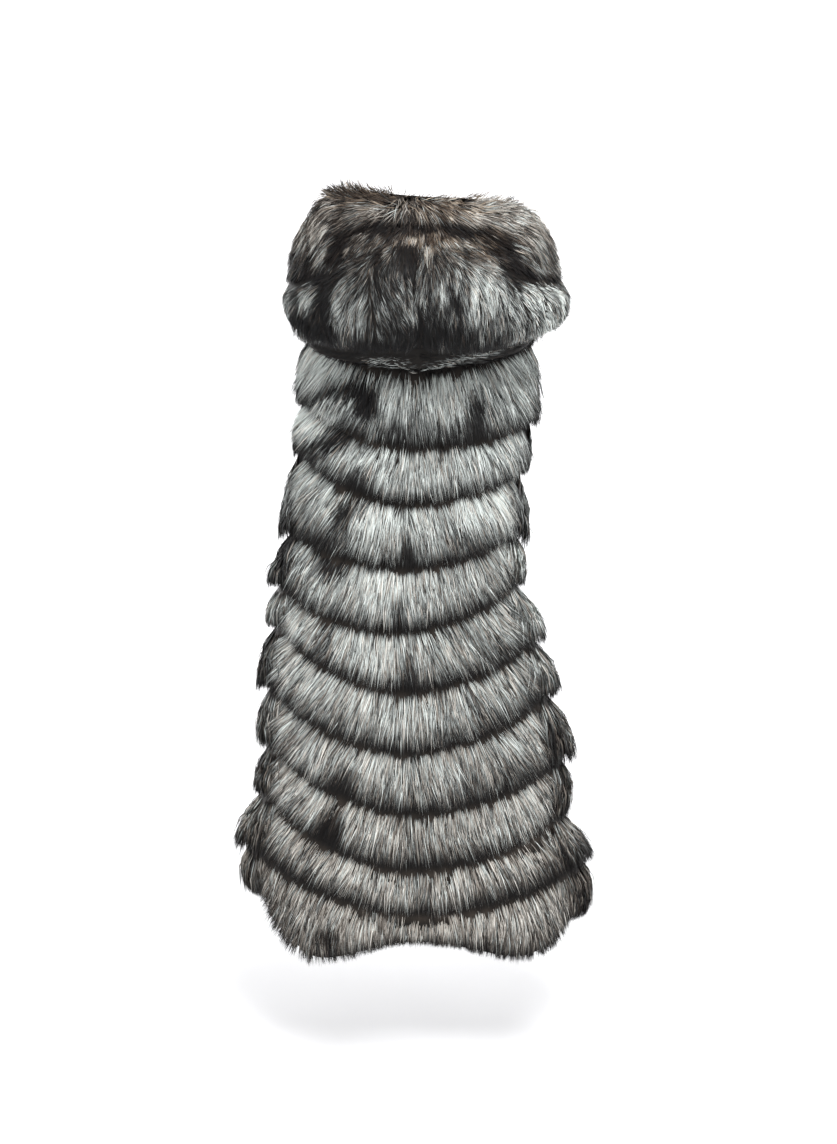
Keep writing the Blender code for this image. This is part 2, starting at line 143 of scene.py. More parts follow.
# Seams from the yoke's lower edge to the hem, as on the skins, in millimetres and degrees: z
# and x of the centre back, rise towards each side seam, sag on the way, half widths,
# depths and the front edge's angle.
SEAM_COLUMNS = ("z", "rise_left", "rise_right", "sag_left", "sag_right", "centre_x",
                "half_left", "half_right", "back", "front", "edge")
SEAMS = np.array((
    (-176, 60, 50, 0, 0, -4, 222, 218, 133, 130, 171),
    (-304, 75, 35, 0, 0, 8, 212, 220, 139, 138, 170),
    (-404, 78, 46, 0, 0, 24, 196, 210, 145, 144, 168),
    (-517, 45, 43, 0, 0, 27, 205, 202, 151, 148, 166),
    (-632, 61, 65, 0, 0, 38, 214, 213, 157, 152, 165),
    (-739, 92, 60, 0, 0, 28, 233, 240, 163, 156, 164),
    (-849, 85, 68, 0, 0, 24, 249, 262, 169, 160, 163),
    (-960, 90, 58, 0, 0, 15, 259, 279, 175, 164, 162),
    (-1064, 100, 60, 0, 0, 15, 272, 276, 181, 168, 161),
    (-1146, 78, 45, 0, 0, -3, 320, 300, 187, 172, 160),
    (-1205, 55, 8, 70, 44, 0, 300, 298, 191, 174, 160),
)) / (10 * (1000,) + (1,))
NECK_HALF = 0.085
NECK_BACK = 0.065
NECK_FRONT = 0.125
NECK_SIDE_Z = 0.018
NECK_FRONT_Z = -0.105
NECK_FRONT_ANGLE = 150.0
NECK_FRONT_CURVE = 1.2
SHOULDER_TIP = (0.200, -0.092, -0.055)
BACK_NECK_SHARE = 0.4
YOKE_BEND_BACK = (0.75, 0.75)


def along_curve(values, place):
    """Values at places along equally spaced values, on a curve through all of them."""
    place = np.asarray(place, float)
    values = np.broadcast_to(values, place.shape + (np.shape(values)[-1],))
    last = values.shape[-1] - 1

    def at(index):
        return np.take_along_axis(values, np.clip(index, 0, last)[..., None], -1)[..., 0]

    start = np.clip(np.floor(place), 0, last - 1).astype(int)
    share = place - start
    here, there = at(start), at(start + 1)
    before = np.where(start > 0, at(start - 1), 2 * here - there)
    after = np.where(start + 2 <= last, at(start + 2), 2 * there - here)
    slope_here, slope_there = (there - before) / 2, (after - here) / 2
    square, cube = share ** 2, share ** 3
    return ((2 * cube - 3 * square + 1) * here + (cube - 2 * square + share) * slope_here
            + (3 * square - 2 * cube) * there + (cube - square) * slope_there)


def seam_value(name, seam):
    """One column of the seam table at seam numbers from 1 to 11."""
    return along_curve(SEAMS[:, SEAM_COLUMNS.index(name)], seam - 1.0)


def rounded(values):
    """Sines or cosines pushed outwards, which makes the ring a rounded oblong."""
    return np.sign(values) * np.abs(values) ** (2.0 / BODY_ROUNDNESS)


def body_ring(seam, angle):
    """Skin at seam numbers and angles round the body from the centre back."""
    seam = np.maximum(seam, 1.0)
    left = angle >= 0
    turn = np.radians(angle)
    to_side = np.minimum(np.abs(angle) / SIDE_SEAM, 1.0)
    past = np.maximum(np.abs(angle) - SIDE_SEAM, 0.0)
    to_front = past / (seam_value("edge", seam) - SIDE_SEAM)

    def of_side(name):
        return np.where(left, seam_value(name + "_left", seam), seam_value(name + "_right", seam))

    depth = np.where(np.cos(turn) > 0, seam_value("back", seam), seam_value("front", seam))
    x = seam_value("centre_x", seam) + of_side("half") * rounded(np.sin(turn))
    y = BODY_AXIS_Y + depth * rounded(np.cos(turn))
    z = (seam_value("z", seam) + of_side("rise") * to_side ** CHEVRON_POWER
         - of_side("sag") * np.sin(np.pi * to_side ** SAG_POWER) - FRONT_DROP * to_front)
    return np.stack((x, y, z), -1)


def neckline(angle):
    """Neckline at angles round the neck from the centre back."""
    turn = np.radians(angle)
    behind = np.abs(angle) <= 90
    x = NECK_HALF * np.sin(turn)
    y = -NECK_BACK + np.where(behind, NECK_BACK, NECK_FRONT) * np.cos(turn)
    down = np.clip((np.abs(angle) - 90) / (NECK_FRONT_ANGLE - 90), 0.0, None)
    fall = NECK_SIDE_Z + (NECK_FRONT_Z - NECK_SIDE_Z) * down ** NECK_FRONT_CURVE
    z = np.where(behind, NECK_SIDE_Z * (1 - np.cos(turn)), fall)
    return np.stack((x, y, z), -1)


def shoulder_seam(side, share):
    """Shoulder seam from the neck, share 0, to the tip, share 1."""
    near = neckline(side * 90.0)
    tip = np.stack([side * SHOULDER_TIP[0], side * 0 + SHOULDER_TIP[1],
                    side * 0 + SHOULDER_TIP[2]], -1)
    return near + (tip - near) * share[..., None]


def yoke(seam, top, bottom, bend_shares):
    """Yoke skin, curving from its top edge over the shoulder to the first seam."""
    outwards, raised = bend_shares
    bend = np.stack(((top[..., 0] + bottom[..., 0]) / 2,
                     top[..., 1] + (bottom[..., 1] - top[..., 1]) * outwards,
                     bottom[..., 2] + (top[..., 2] - bottom[..., 2]) * raised), -1)
    seam = seam[..., None]
    return (top + (bend - top) * seam) * (1 - seam) + (bend + (bottom - bend) * seam) * seam


def back_skin(seam, across):
    """Back panel's skin, from its right side seam (across -1) to its left (1)."""
    angle = SIDE_SEAM * across
    side = np.where(across < 0, -1.0, 1.0)
    reach = np.abs(across)
    at_neck = neckline(side * 90.0 * np.minimum(reach / BACK_NECK_SHARE, 1.0))
    at_shoulder = shoulder_seam(side, (reach - BACK_NECK_SHARE) / (1 - BACK_NECK_SHARE))
    top = np.where((reach <= BACK_NECK_SHARE)[..., None], at_neck, at_shoulder)
    upper = yoke(np.minimum(seam, 1.0), top, body_ring(seam * 0 + 1.0, angle), YOKE_BEND_BACK)
    return np.where((seam >= 1.0)[..., None], body_ring(seam, angle), upper)


def unit(vectors):
    """Vectors of length 1."""
    return vectors / np.maximum(np.linalg.norm(vectors, axis=-1, keepdims=True), 1e-9)


class Ground:
    """Places on a skin with its outward, downward and sideways directions there."""

    def __init__(self, skin, down, across, steps, outward):
        above = np.maximum(down - steps[0], 0.0)
        self.point = skin(down, across)
        fall = skin(down + steps[0], across) - skin(above, across)
        sweep = skin(down, across + steps[1]) - skin(down, across - steps[1])
        self.side = unit(sweep)
        self.out = unit(np.cross(sweep, fall)) * outward
        self.down = unit(fall)
        # Metres along the skin for a step of each number that places a point on it.
        self.down_size = np.linalg.norm(fall, axis=-1) / (down + steps[0] - above)
        self.side_size = np.linalg.norm(sweep, axis=-1) / (2 * steps[1])


STRIP_STEPS = (0.02, 0.02)
back_ground = partial(Ground, back_skin, steps=STRIP_STEPS, outward=1.0)

# A ripple is a few waves laid over each other, each longer than the ripple's size.
RIPPLE_WAVES = 6
RIPPLE_LENGTHS = (1.4, 2.8)
RIPPLE_STARTS = (0, 7)
LOCK_GRID = (97, 89)


def ripple(draw, x, y, size):
    """A smooth random height between about -1 and 1 whose bumps are of one size."""
    total = np.zeros(np.shape(x))
    for _ in range(RIPPLE_WAVES):
        turn = draw.uniform(0, 2 * math.pi)
        pace = 2 * math.pi / (size * draw.uniform(*RIPPLE_LENGTHS))
        total += np.sin(pace * (x * math.cos(turn) + y * math.sin(turn))
                        + draw.uniform(*RIPPLE_STARTS))
    return total / (RIPPLE_WAVES / 2)


def locks(draw, x, y, size):
    """Gathers hairs into locks of one size: each hair's lock, and the way to its middle."""
    columns, rows = LOCK_GRID
    table = draw.random((columns, rows, 2))
    column, row = np.floor(x / size).astype(int), np.floor(y / size).astype(int)
    best = np.full(x.shape, np.inf)
    to_x, to_y, which = np.zeros(x.shape), np.zeros(x.shape), np.zeros(x.shape, int)
    for step_x in (-1, 0, 1):
        for step_y in (-1, 0, 1):
            near_x, near_y = (column + step_x) % columns, (row + step_y) % rows
            here = table[near_x, near_y]
            away_x = (column + step_x + here[..., 0]) * size - x
            away_y = (row + step_y + here[..., 1]) * size - y
            away = away_x ** 2 + away_y ** 2
            nearer = away < best
            best = np.where(nearer, away, best)
            to_x, to_y = np.where(nearer, away_x, to_x), np.where(nearer, away_y, to_y)
            which = np.where(nearer, near_x * rows + near_y, which)
    return which, (to_x, to_y)


def gathered(draw, x, y, lock_size, wisp_size):
    """Hairs gathered into locks and finer wisps.

    Gives the ways to the middle of each hair's lock and wisp, four draws for each of the
    two, and how far from its wisp's middle the hair grows, from 0 to 1.
    """
    lock, to_lock = locks(draw, x, y, lock_size)
    wisp, to_wisp = locks(draw, x, y, wisp_size)
    lock_draw = draw.normal(size=(math.prod(LOCK_GRID), 4))[lock]
    wisp_draw = draw.normal(size=(math.prod(LOCK_GRID), 4))[wisp]
    off_middle = np.clip(np.hypot(*to_wisp) / wisp_size, 0, 1)
    return to_lock, to_wisp, lock_draw, wisp_draw, off_middle


# One hair is a blade of two lengths that runs to a point. Its corners lie to the left
# or right at these shares of its length. It is rolled a little and shaded as if round.
HAIR_SHARES = np.array((0.0, 0.52, 1.0))
HAIR_WIDTHS = np.array((0.8, 1.0, 0.0))
HAIR_GATHER = (0.0, 0.55, 1.0)
HAIR_BEND = 0.8
HAIR_FACE_BLEND = 0.30
HAIR_ROLL = 1.1

blade = bmesh.new()
bmesh.ops.create_grid(blade, x_segments=1, y_segments=len(HAIR_SHARES) - 1, size=1.0)
tip_verts = [vert for vert in blade.verts if vert.co.y > 0.99]
bmesh.ops.pointmerge(blade, verts=tip_verts, merge_co=(0.0, 1.0, 0.0))
blade.verts.index_update()
BLADE_SIDES = np.array([round(vert.co.x) for vert in blade.verts])
BLADE_LEVELS = np.array([round((vert.co.y + 1) / 2 * (len(HAIR_SHARES) - 1))
                         for vert in blade.verts])
BLADE_LOOPS = np.array([vert.index for face in blade.faces for vert in face.verts])
BLADE_CORNERS = np.array([len(face.verts) for face in blade.faces])
blade.free()

# The fur map: across it the hair's shade from black to white, three times over for cool,
# warm and sandy hair. Up it the inside of the leather, the underfur from one seam to the
# next, and the guard hair from its root to its tip.
LEATHER_BAND = 0.03
UNDERFUR_BAND = (0.05, 0.14)
HAIR_BAND = (0.16, 1.0)
HAIR_KINDS = 3
SHADE_WIDTH = 0.006
SHADE_LIMITS = (0.03, 0.97)
# The underfur's tufts: every other column of its wall lies at one of these places across.
TUFT_PLACES = (0.25, 0.75)


def hair_blades(draw, ground, flow, length, lift, droop, root, width, shade, kind, pull,
                shift, band=HAIR_BAND):
    """Blades for hairs on a ground, with their corners' directions and fur map places.

    flow is each hair's direction along the skin, lift and droop the angles at which it
    leaves the skin and ends, root how high it starts, pull the way to its lock's middle
    and shift how much nearer to the root its colours lie.
    """
    count = len(length)
    points = [ground.point + ground.out * root[:, None]]
    for index, step in enumerate(np.diff(HAIR_SHARES)):
        share = (HAIR_SHARES[index] + HAIR_SHARES[index + 1]) / 2
        angle = lift + (droop - lift) * share ** HAIR_BEND
        way = np.sin(angle)[:, None] * ground.out + np.cos(angle)[:, None] * flow
        points.append(points[-1] + way * (length * step)[:, None])
    points = [place + pull * share for place, share in zip(points, HAIR_GATHER)]
    directions = []
    for index in range(len(points)):
        before, after = points[max(index - 1, 0)], points[min(index + 1, len(points) - 1)]
        directions.append(unit(after - before))
    roll = draw.uniform(-HAIR_ROLL, HAIR_ROLL, count)[:, None]
    code = (np.clip(shade, *SHADE_LIMITS) + kind) / HAIR_KINDS
    corners, normals, places = [], [], []
    for side, level in zip(BLADE_SIDES, BLADE_LEVELS):
        along = directions[level]
        flat = unit(np.cross(along, ground.out))
        up = unit(np.cross(flat, along))
        turned = flat * np.cos(roll) + up * np.sin(roll)
        facing = unit(np.cross(turned, along))
        corners.append(points[level] + turned * (side * HAIR_WIDTHS[level] * width / 2)[:, None])
        normals.append(unit(up * (1 - HAIR_FACE_BLEND) + facing * HAIR_FACE_BLEND))
        share = HAIR_SHARES[level]
        rise = band[0] + (band[1] - band[0]) * (share + shift * 4 * share * (1 - share))
        places.append(np.stack((code + side * SHADE_WIDTH / 2, rise), -1))
    offsets = np.arange(count)[:, None] * len(BLADE_SIDES)
    loops = (offsets + BLADE_LOOPS[None, :]).ravel()
    return {"corners": np.stack(corners, 1).reshape(-1, 3),
            "normals": np.stack(normals, 1).reshape(-1, 3),
            "loops": loops,
            "places": np.stack(places, 1).reshape(-1, 2)[loops],
            "sizes": np.tile(BLADE_CORNERS, count),
            "slots": np.zeros(count * len(BLADE_CORNERS), int)}


def skin_wall(ground_at, columns, rows, inner_at, outer_at, band=UNDERFUR_BAND):
    """A closed wall over a whole piece, as numbers.

    ground_at takes shares across and down the piece. inner_at and outer_at give how far
    the wall's faces stand off the skin there.
    """
    mesh = bmesh.new()
    bmesh.ops.create_grid(mesh, x_segments=columns, y_segments=rows, size=1.0)
    made = bmesh.ops.extrude_face_region(mesh, geom=mesh.faces[:] + mesh.edges[:],
                                         use_keep_orig=True)
    outer = new_verts(made)
    mesh.verts.index_update()
    is_outer = np.zeros(len(mesh.verts), bool)
    is_outer[[vert.index for vert in outer]] = True
    across, down = (np.array([vert.co[:2] for vert in mesh.verts]) / 2 + 0.5).T
    ground = ground_at(across, down)
    off = np.where(is_outer, outer_at(across, down), inner_at(across, down))
    corners = ground.point + ground.out * off[:, None]
    for vert, corner in zip(mesh.verts, corners):
        vert.co = corner
    bmesh.ops.recalc_face_normals(mesh, faces=mesh.faces[:])
    loops = np.array([vert.index for face in mesh.faces for vert in face.verts])
    sizes = np.array([len(face.verts) for face in mesh.faces])
    inside = np.array([not any(is_outer[vert.index] for vert in face.verts)
                       for face in mesh.faces])
    mesh.free()
    low, high = band
    column = np.round(across * columns).astype(int)
    tuft = np.where(column % 2 == 0, *TUFT_PLACES)
    along = np.repeat(inside, sizes)
    places = np.stack((np.where(along, across[loops], tuft[loops]),
                       np.where(along, LEATHER_BAND * down[loops],
                                low + (high - low) * down[loops])), -1)
    return {"corners": corners, "normals": ground.out * np.where(is_outer, 1, -1)[:, None],
            "loops": loops, "places": places, "sizes": sizes, "slots": inside.astype(int)}


def joined(name, parts, finishes):
    """One mesh from several parts given as numbers."""
    data = bpy.data.meshes.new(name)
    shift, loops = 0, []
    for part in parts:
        loops.append(part["loops"] + shift)
        shift += len(part["corners"])
    loops = np.concatenate(loops)
    sizes = np.concatenate([part["sizes"] for part in parts])
    slots = np.concatenate([part["slots"] for part in parts])
    data.vertices.add(shift)
    data.vertices.foreach_set("co", np.concatenate([p["corners"] for p in parts]).ravel())
    data.loops.add(len(loops))
    data.loops.foreach_set("vertex_index", loops.astype(np.int32))
    data.polygons.add(len(sizes))
    starts = np.concatenate(([0], np.cumsum(sizes)[:-1]))
    data.polygons.foreach_set("loop_start", starts.astype(np.int32))
    data.polygons.foreach_set("material_index", slots.astype(np.int32))
    data.polygons.foreach_set("use_smooth", np.ones(len(sizes), bool))
    places = np.concatenate([part["places"] for part in parts]).astype(np.float32).ravel()
    for map_name in ("fur", "OFBake"):
        data.uv_layers.new(name=map_name).uv.foreach_set("vector", places)
    for finish in finishes:
        data.materials.append(finish)
    data.update(calc_edges=True)
    data.normals_split_custom_set_from_vertices(np.concatenate([p["normals"] for p in parts]))
    return data


class Wire:
    """A socket in a material's nodes, with arithmetic written as Python expressions."""

    def __init__(self, tree, socket=None):
        self.tree, self.socket = tree, socket

    def node(self, kind, settings, inputs, output=0):
        """A new node's output. Its settings come first, then values or links by socket."""
        made = self.tree.nodes.new(kind)
        for name, value in settings.items():
            if name == "stops":
                ramp = made.color_ramp.elements
                while len(ramp) < len(value):
                    ramp.new(0.5)
                for stop, (place, colour) in zip(ramp, value):
                    stop.position, stop.color = place, (*colour, 1.0)
            else:
                setattr(made, name, value)
        for name, value in inputs.items():
            if isinstance(value, Wire):
                self.tree.links.new(value.socket, made.inputs[name])
            else:
                made.inputs[name].default_value = value
        return Wire(self.tree, made.outputs[output])

    def maths(self, operation, *values):
        return self.node("ShaderNodeMath", {"operation": operation}, dict(enumerate(values)))

    def __add__(self, other):
        return self.maths("ADD", self, other)

    def __rsub__(self, other):
        return self.maths("SUBTRACT", other, self)

    def __mul__(self, other):
        return self.maths("MULTIPLY", self, other)

    __radd__, __rmul__ = __add__, __mul__

    def step(self, low, high):
        """0 below low and 1 above high, smooth between."""
        return self.node("ShaderNodeMapRange", {"interpolation_type": "SMOOTHSTEP"},
                         {"Value": self, "From Min": low, "From Max": high})

    def mixed(self, first, second):
        """A colour between two, by this share."""
        return self.node("ShaderNodeMix", {"data_type": "RGBA"},
                         {0: self, 6: first, 7: second}, 2)

    def feed(self, socket):
        """Links this to a shader's socket."""
        self.tree.links.new(self.socket, socket)


ROOT_COLOUR = (0.007, 0.0065, 0.0065, 1.0)
TIP_COLOUR = (0.013, 0.012, 0.012, 1.0)
# The underfur: near black at the seam, painted shade under the band above, brown a little below
# it and near black again further down, painted shade under the guard hair.
UNDERFUR_SHADE_STOPS = ((0.05, (0.006, 0.005, 0.005)), (0.058, (0.022, 0.018, 0.015)),
                  (0.070, (0.042, 0.034, 0.028)), (0.088, (0.010, 0.009, 0.008)))
COOL_STOPS = ((0.0, (0.008, 0.008, 0.009)), (0.30, (0.050, 0.051, 0.050)),
              (0.55, (0.24, 0.255, 0.25)), (0.78, (0.56, 0.60, 0.58)), (1.0, (0.86, 0.91, 0.88)))
WARM_STOPS = ((0.0, (0.010, 0.008, 0.008)), (0.30, (0.062, 0.050, 0.042)),
              (0.55, (0.26, 0.230, 0.20)), (0.78, (0.54, 0.505, 0.455)),
              (1.0, (0.86, 0.83, 0.77)))
SANDY_STOPS = ((0.0, (0.012, 0.009, 0.007)), (0.30, (0.075, 0.052, 0.038)),
               (0.55, (0.25, 0.195, 0.145)), (0.78, (0.50, 0.415, 0.325)),
               (1.0, (0.80, 0.71, 0.60)))
# From where to where up the fur map: underfur to a hair's dark root, root to its silver
# part, and that to its dark tip. The whitest hairs' tips stay lighter.
ROOT_RISE = (0.14, 0.20)
SILVER_RISE = (0.24, 0.44)
TIP_RISE = (0.56, 0.92)
WHITE_SHADES = (0.74, 0.98)
WHITE_TIP = 0.7
TUFT_DARK = 0.35
FUR_ROUGHNESS = 0.48
FUR_SPECULAR = 0.11
LEATHER_PRESSED = (0.018, 0.017, 0.017, 1.0)
LEATHER_GREY = (0.045, 0.041, 0.039, 1.0)
LEATHER_TOP = (0.0, 0.004)
LEATHER_BOTTOM = (0.026, 0.03)
LEATHER_ROUGHNESS = 0.9


def new_finish(name):
    """A new material, its surface shader's sockets and a wire to build its nodes from."""
    finish = bpy.data.materials.new(name)
    finish.use_nodes = True
    tree = finish.node_tree
    return finish, tree.nodes["Principled BSDF"].inputs, Wire(tree)


def fur_finish(name):
    """Fox fur: brown underfur with painted shade at the seams and under the hair, and hairs dark
    at the skin and again at most of the tips.
    """
    finish, shader, start = new_finish(name)
    place = start.node("ShaderNodeUVMap", {"uv_map": "fur"}, {})
    across = start.node("ShaderNodeSeparateXYZ", {}, {0: place}, 0)
    rise = start.node("ShaderNodeSeparateXYZ", {}, {0: place}, 1)
    coded = across * HAIR_KINDS
    shade = start.maths("FRACT", coded)
    colours = [start.node("ShaderNodeValToRGB", {"stops": stops}, {0: shade})
               for stops in (COOL_STOPS, WARM_STOPS, SANDY_STOPS)]
    body = start.maths("GREATER_THAN", coded, 1.0).mixed(colours[0], colours[1])
    body = start.maths("GREATER_THAN", coded, 2.0).mixed(body, colours[2])
    # The underfur's colour, with its painted shade.
    soft = start.node("ShaderNodeValToRGB", {"stops": UNDERFUR_SHADE_STOPS}, {0: rise})
    tufted = (across.step(*TUFT_PLACES) * TUFT_DARK).mixed(soft, ROOT_COLOUR)
    lower = rise.step(*ROOT_RISE).mixed(tufted, ROOT_COLOUR)
    hair = rise.step(*SILVER_RISE).mixed(lower, body)
    dark_tip = rise.step(*TIP_RISE) * (1.0 - shade.step(*WHITE_SHADES) * WHITE_TIP)
    dark_tip.mixed(hair, TIP_COLOUR).feed(shader["Base Color"])
    shader["Roughness"].default_value = FUR_ROUGHNESS
    shader["Specular IOR Level"].default_value = FUR_SPECULAR
    return finish


def leather_finish(name):
    """The pelts' leather side, dark grey and matt, darker where each seam presses it."""
    finish, shader, start = new_finish(name)
    place = start.node("ShaderNodeUVMap", {"uv_map": "fur"}, {})
    down = start.node("ShaderNodeSeparateXYZ", {}, {0: place}, 1)
    free = down.step(*LEATHER_TOP) * (1.0 - down.step(*LEATHER_BOTTOM))
    free.mixed(LEATHER_PRESSED, LEATHER_GREY).feed(shader["Base Color"])
    shader["Roughness"].default_value = LEATHER_ROUGHNESS
    return finish


fox_hair = fur_finish("silver_fox_hair")
fox_leather = leather_finish("fox_leather")

# Rows of a strip: shares of the way down it, and the height of its underfur there.
UNDERFUR_ROWS = ((0.0, 0.12, 0.40, 0.80, 1.0), (0.002, 0.008, 0.015, 0.017, 0.006))
END_SHARE = 0.45
END_TAPER = 0.2
SKIN_CLEAR = 0.0012
STRIP_ROWS = 8
TUFT_SWELL = 0.10
TUFT_PACE = (2.1, 9.0)

# Dark and bright patches of the pelts: x and z of the middle, half its width and height in
# millimetres, and how much lighter its hair is in hundredths.
PATCH_UNITS = (1000, 1000, 1000, 1000, 100)
PATCH_EDGE = 1.5
PATCHES = np.array((
    (92, -241, 22, 26, -110), (126, -216, 37, 13, -60), (173, -227, 42, 7, -35),
    (-99, -250, 19, 28, -55), (-84, -280, 46, 9, -45), (41, -283, 26, 16, -40),
    (1, -280, 46, 14, -20), (126, -297, 25, 14, -60), (156, -315, 35, 12, -40),
    (93, -315, 14, 25, -30), (100, -368, 25, 16, -35), (194, -271, 28, 23, 35),
    (129, -439, 18, 26, -60), (157, -475, 39, 11, -35), (203, -468, 25, 11, -20),
    (238, -524, 11, 26, -70), (154, -544, 23, 14, -80), (183, -533, 32, 11, -30),
    (212, -584, 26, 14, 15), (24, -407, 14, 16, -50), (19, -502, 12, 28, -60),
    (33, -605, 12, 26, -45), (37, -651, 14, 14, -35), (15, -708, 14, 30, -40),
    (5, -754, 23, 11, -35), (-163, -511, 23, 23, 22), (-148, -439, 21, 26, 22),
    (-77, -430, 25, 14, 20), (69, -556, 35, 21, 15), (77, -448, 35, 21, 15),
    (-182, -656, 25, 23, 18), (-83, -477, 35, 12, -25), (-110, -584, 35, 12, -20),
    (-56, -343, 44, 14, -15), (158, -620, 28, 16, -25), (166, -660, 16, 26, -30),
    (154, -1002, 21, 23, -85), (157, -1206, 21, 16, -60), (133, -908, 21, 18, -40),
    (-110, -1231, 14, 18, -40), (-113, -1150, 12, 16, -30), (-116, -1040, 23, 11, -35),
    (-102, -782, 23, 21, -25), (-234, -852, 18, 19, -35), (267, -700, 12, 35, -40),
    (284, -919, 21, 28, -50), (-296, -1112, 19, 53, -30), (-268, -953, 14, 25, -25),
    (-148, -897, 14, 12, -25), (-93, -916, 14, 11, -25), (42, -748, 35, 14, -20),
    (106, -850, 39, 12, -20), (-3, -850, 42, 12, -20), (160, -155, 35, 30, 34),
    (185, -180, 30, 30, 22), (165, -252, 42, 18, 52), (142, -313, 35, 14, -35),
)) / PATCH_UNITS


def end_fall(share):
    """Fur height along a strip: full in the middle, lower at its two ends."""
    return END_SHARE + (1 - END_SHARE) * np.clip(np.minimum(share, 1 - share) / END_TAPER, 0, 1)


def patch_change(patches, points):
    """How much lighter the patches make the hair at some points."""
    change = np.zeros(len(points))
    for x, z, half_width, half_height, lighter in patches:
        away = ((points[:, 0] - x) / half_width) ** 2 + ((points[:, 2] - z) / half_height) ** 2
        change += lighter * np.exp(-away ** PATCH_EDGE)
    return change


# How the guard hairs of a strip grow, in metres and radians.
BACK_HAIRS = 12000
BACK_FUZZ = 1500
BACK_COLUMNS = 48
BACK_SEED = 1000
HAIR_LENGTH = 0.066
HAIR_LENGTH_SPREAD = 0.15
HAIR_LENGTH_LIMITS = (0.012, 0.09)
HAIR_LIFT = 0.66
HAIR_DROOP = -0.24
HAIR_WIDTH = 0.00105
HAIR_WIDTH_SPREAD = 0.2
HAIR_WIDTH_LIMITS = (0.5, 1.6)
ROOT_CROWDING = 1.15
ROOT_DEPTH = 0.85
LAST_ROOT = 0.80
# The yoke's hair starts this share of the way down it, because the hood lies on the rest,
# and it is pressed flat there.
YOKE_ROOT = 0.22
YOKE_FLAT = 0.55
YOKE_PRESS_LENGTH = 0.2
YOKE_PRESSED = 0.1
LOCK_SIZE = 0.019
WISP_SIZE = 0.0085
LOCK_PULL = 0.35
WISP_PULL = 0.60
PULL_DOWN = 0.4
SEAM_OVERHANG = 1.03
# How much of a hair's length lies along the skin, and where on it its silver part is.
HAIR_LIE = 0.93
SILVER_PLACE = 0.55
HAIR_SORTS = ((0.15, 0.22), (0.70, 0.66), (1.01, 0.88))
# How much the hair's way, end, length and lift differ by ripple, lock, wisp and hair.
TURN_RIPPLE, TURN_SIZE, TURN_LOCK, TURN_WISP, TURN_HAIR = 0.10, 0.06, 0.06, 0.05, 0.05
RAGGED_HAIR, RAGGED_LOCK, RAGGED_HEM = 0.04, 0.035, 0.4
LENGTH_WISP = 0.06
LIFT_HAIR, LIFT_LOCK, DROOP_HAIR = 0.12, 0.10, 0.10
# How light it is: ripples of two sizes, the fall from the top of a strip down, partly
# painted shade that darkens each band towards its lower seam, how much darker it is
# between wisps, between combed-out roots and at a strip's ends.
TONE_RIPPLES = ((0.07, 0.05), (0.05, 0.15))
TONE_TOP, TONE_SHADE_FALL, TONE_WISP, TONE_LOCK, TONE_HAIR = 0.22, 0.58, 0.07, 0.04, 0.08
TONE_GAP, TONE_COMBED, TONE_END = 0.05, 0.42, 0.14
COMBED_REACH = 0.25
END_REACH = 0.08
WARM_FIRST, WARM_STEP, WARM_STRIP = 0.06, 0.05, 6
# How much nearer to the root the silver part lies in a wisp's middle than at its edge.
SHIFT_MIDDLE, SHIFT_EDGE, SHIFT_WISP, SHIFT_DOWN = 0.06, 0.24, 0.05, 0.10
SHIFT_LIMITS = (-0.20, 0.24)

# Strip by strip: how far the hair leans out at both ends, how much lighter it is, how much
# nearer to the skin its silver part lies and its length against the longest.
LEANS = (1.0, 1.0, 1.0, 1.0, 1.0, 1.0, 0.9, 0.8, 0.6, 0.3, -0.1)
LIGHTER = (0.12, 0.06, 0.03, 0.01, -0.03, 0.01, -0.01, -0.05, -0.02, -0.06, -0.05)
EARLIER = (0.02, 0.02, 0.02, 0.02, 0.03, 0.04, 0.06, 0.08, 0.11, 0.13, 0.13)
LONGER = (1.0, 1.0, 1.0, 1.0, 1.0, 1.0, 1.0, 1.0, 0.97, 0.92, 0.90)


def hair_shades(draw, count):
    """Each hair's own shade: some dark, most silver and some white."""
    pick = draw.random(count)
    shade = np.zeros(count)
    for share, own in reversed(HAIR_SORTS):
        shade[pick < share] = own
    return shade


def combed(ground, turn):
    """Directions square to the seam above, turned sideways by some angles."""
    square = unit(ground.down - ground.side * np.sum(ground.down * ground.side, -1)[:, None])
    return square * np.cos(turn)[:, None] + ground.side * np.sin(turn)[:, None]


def hair_widths(draw, width, count):
    """Widths that differ from hair to hair."""
    return width * (1 + HAIR_WIDTH_SPREAD * draw.normal(size=count)).clip(*HAIR_WIDTH_LIMITS)


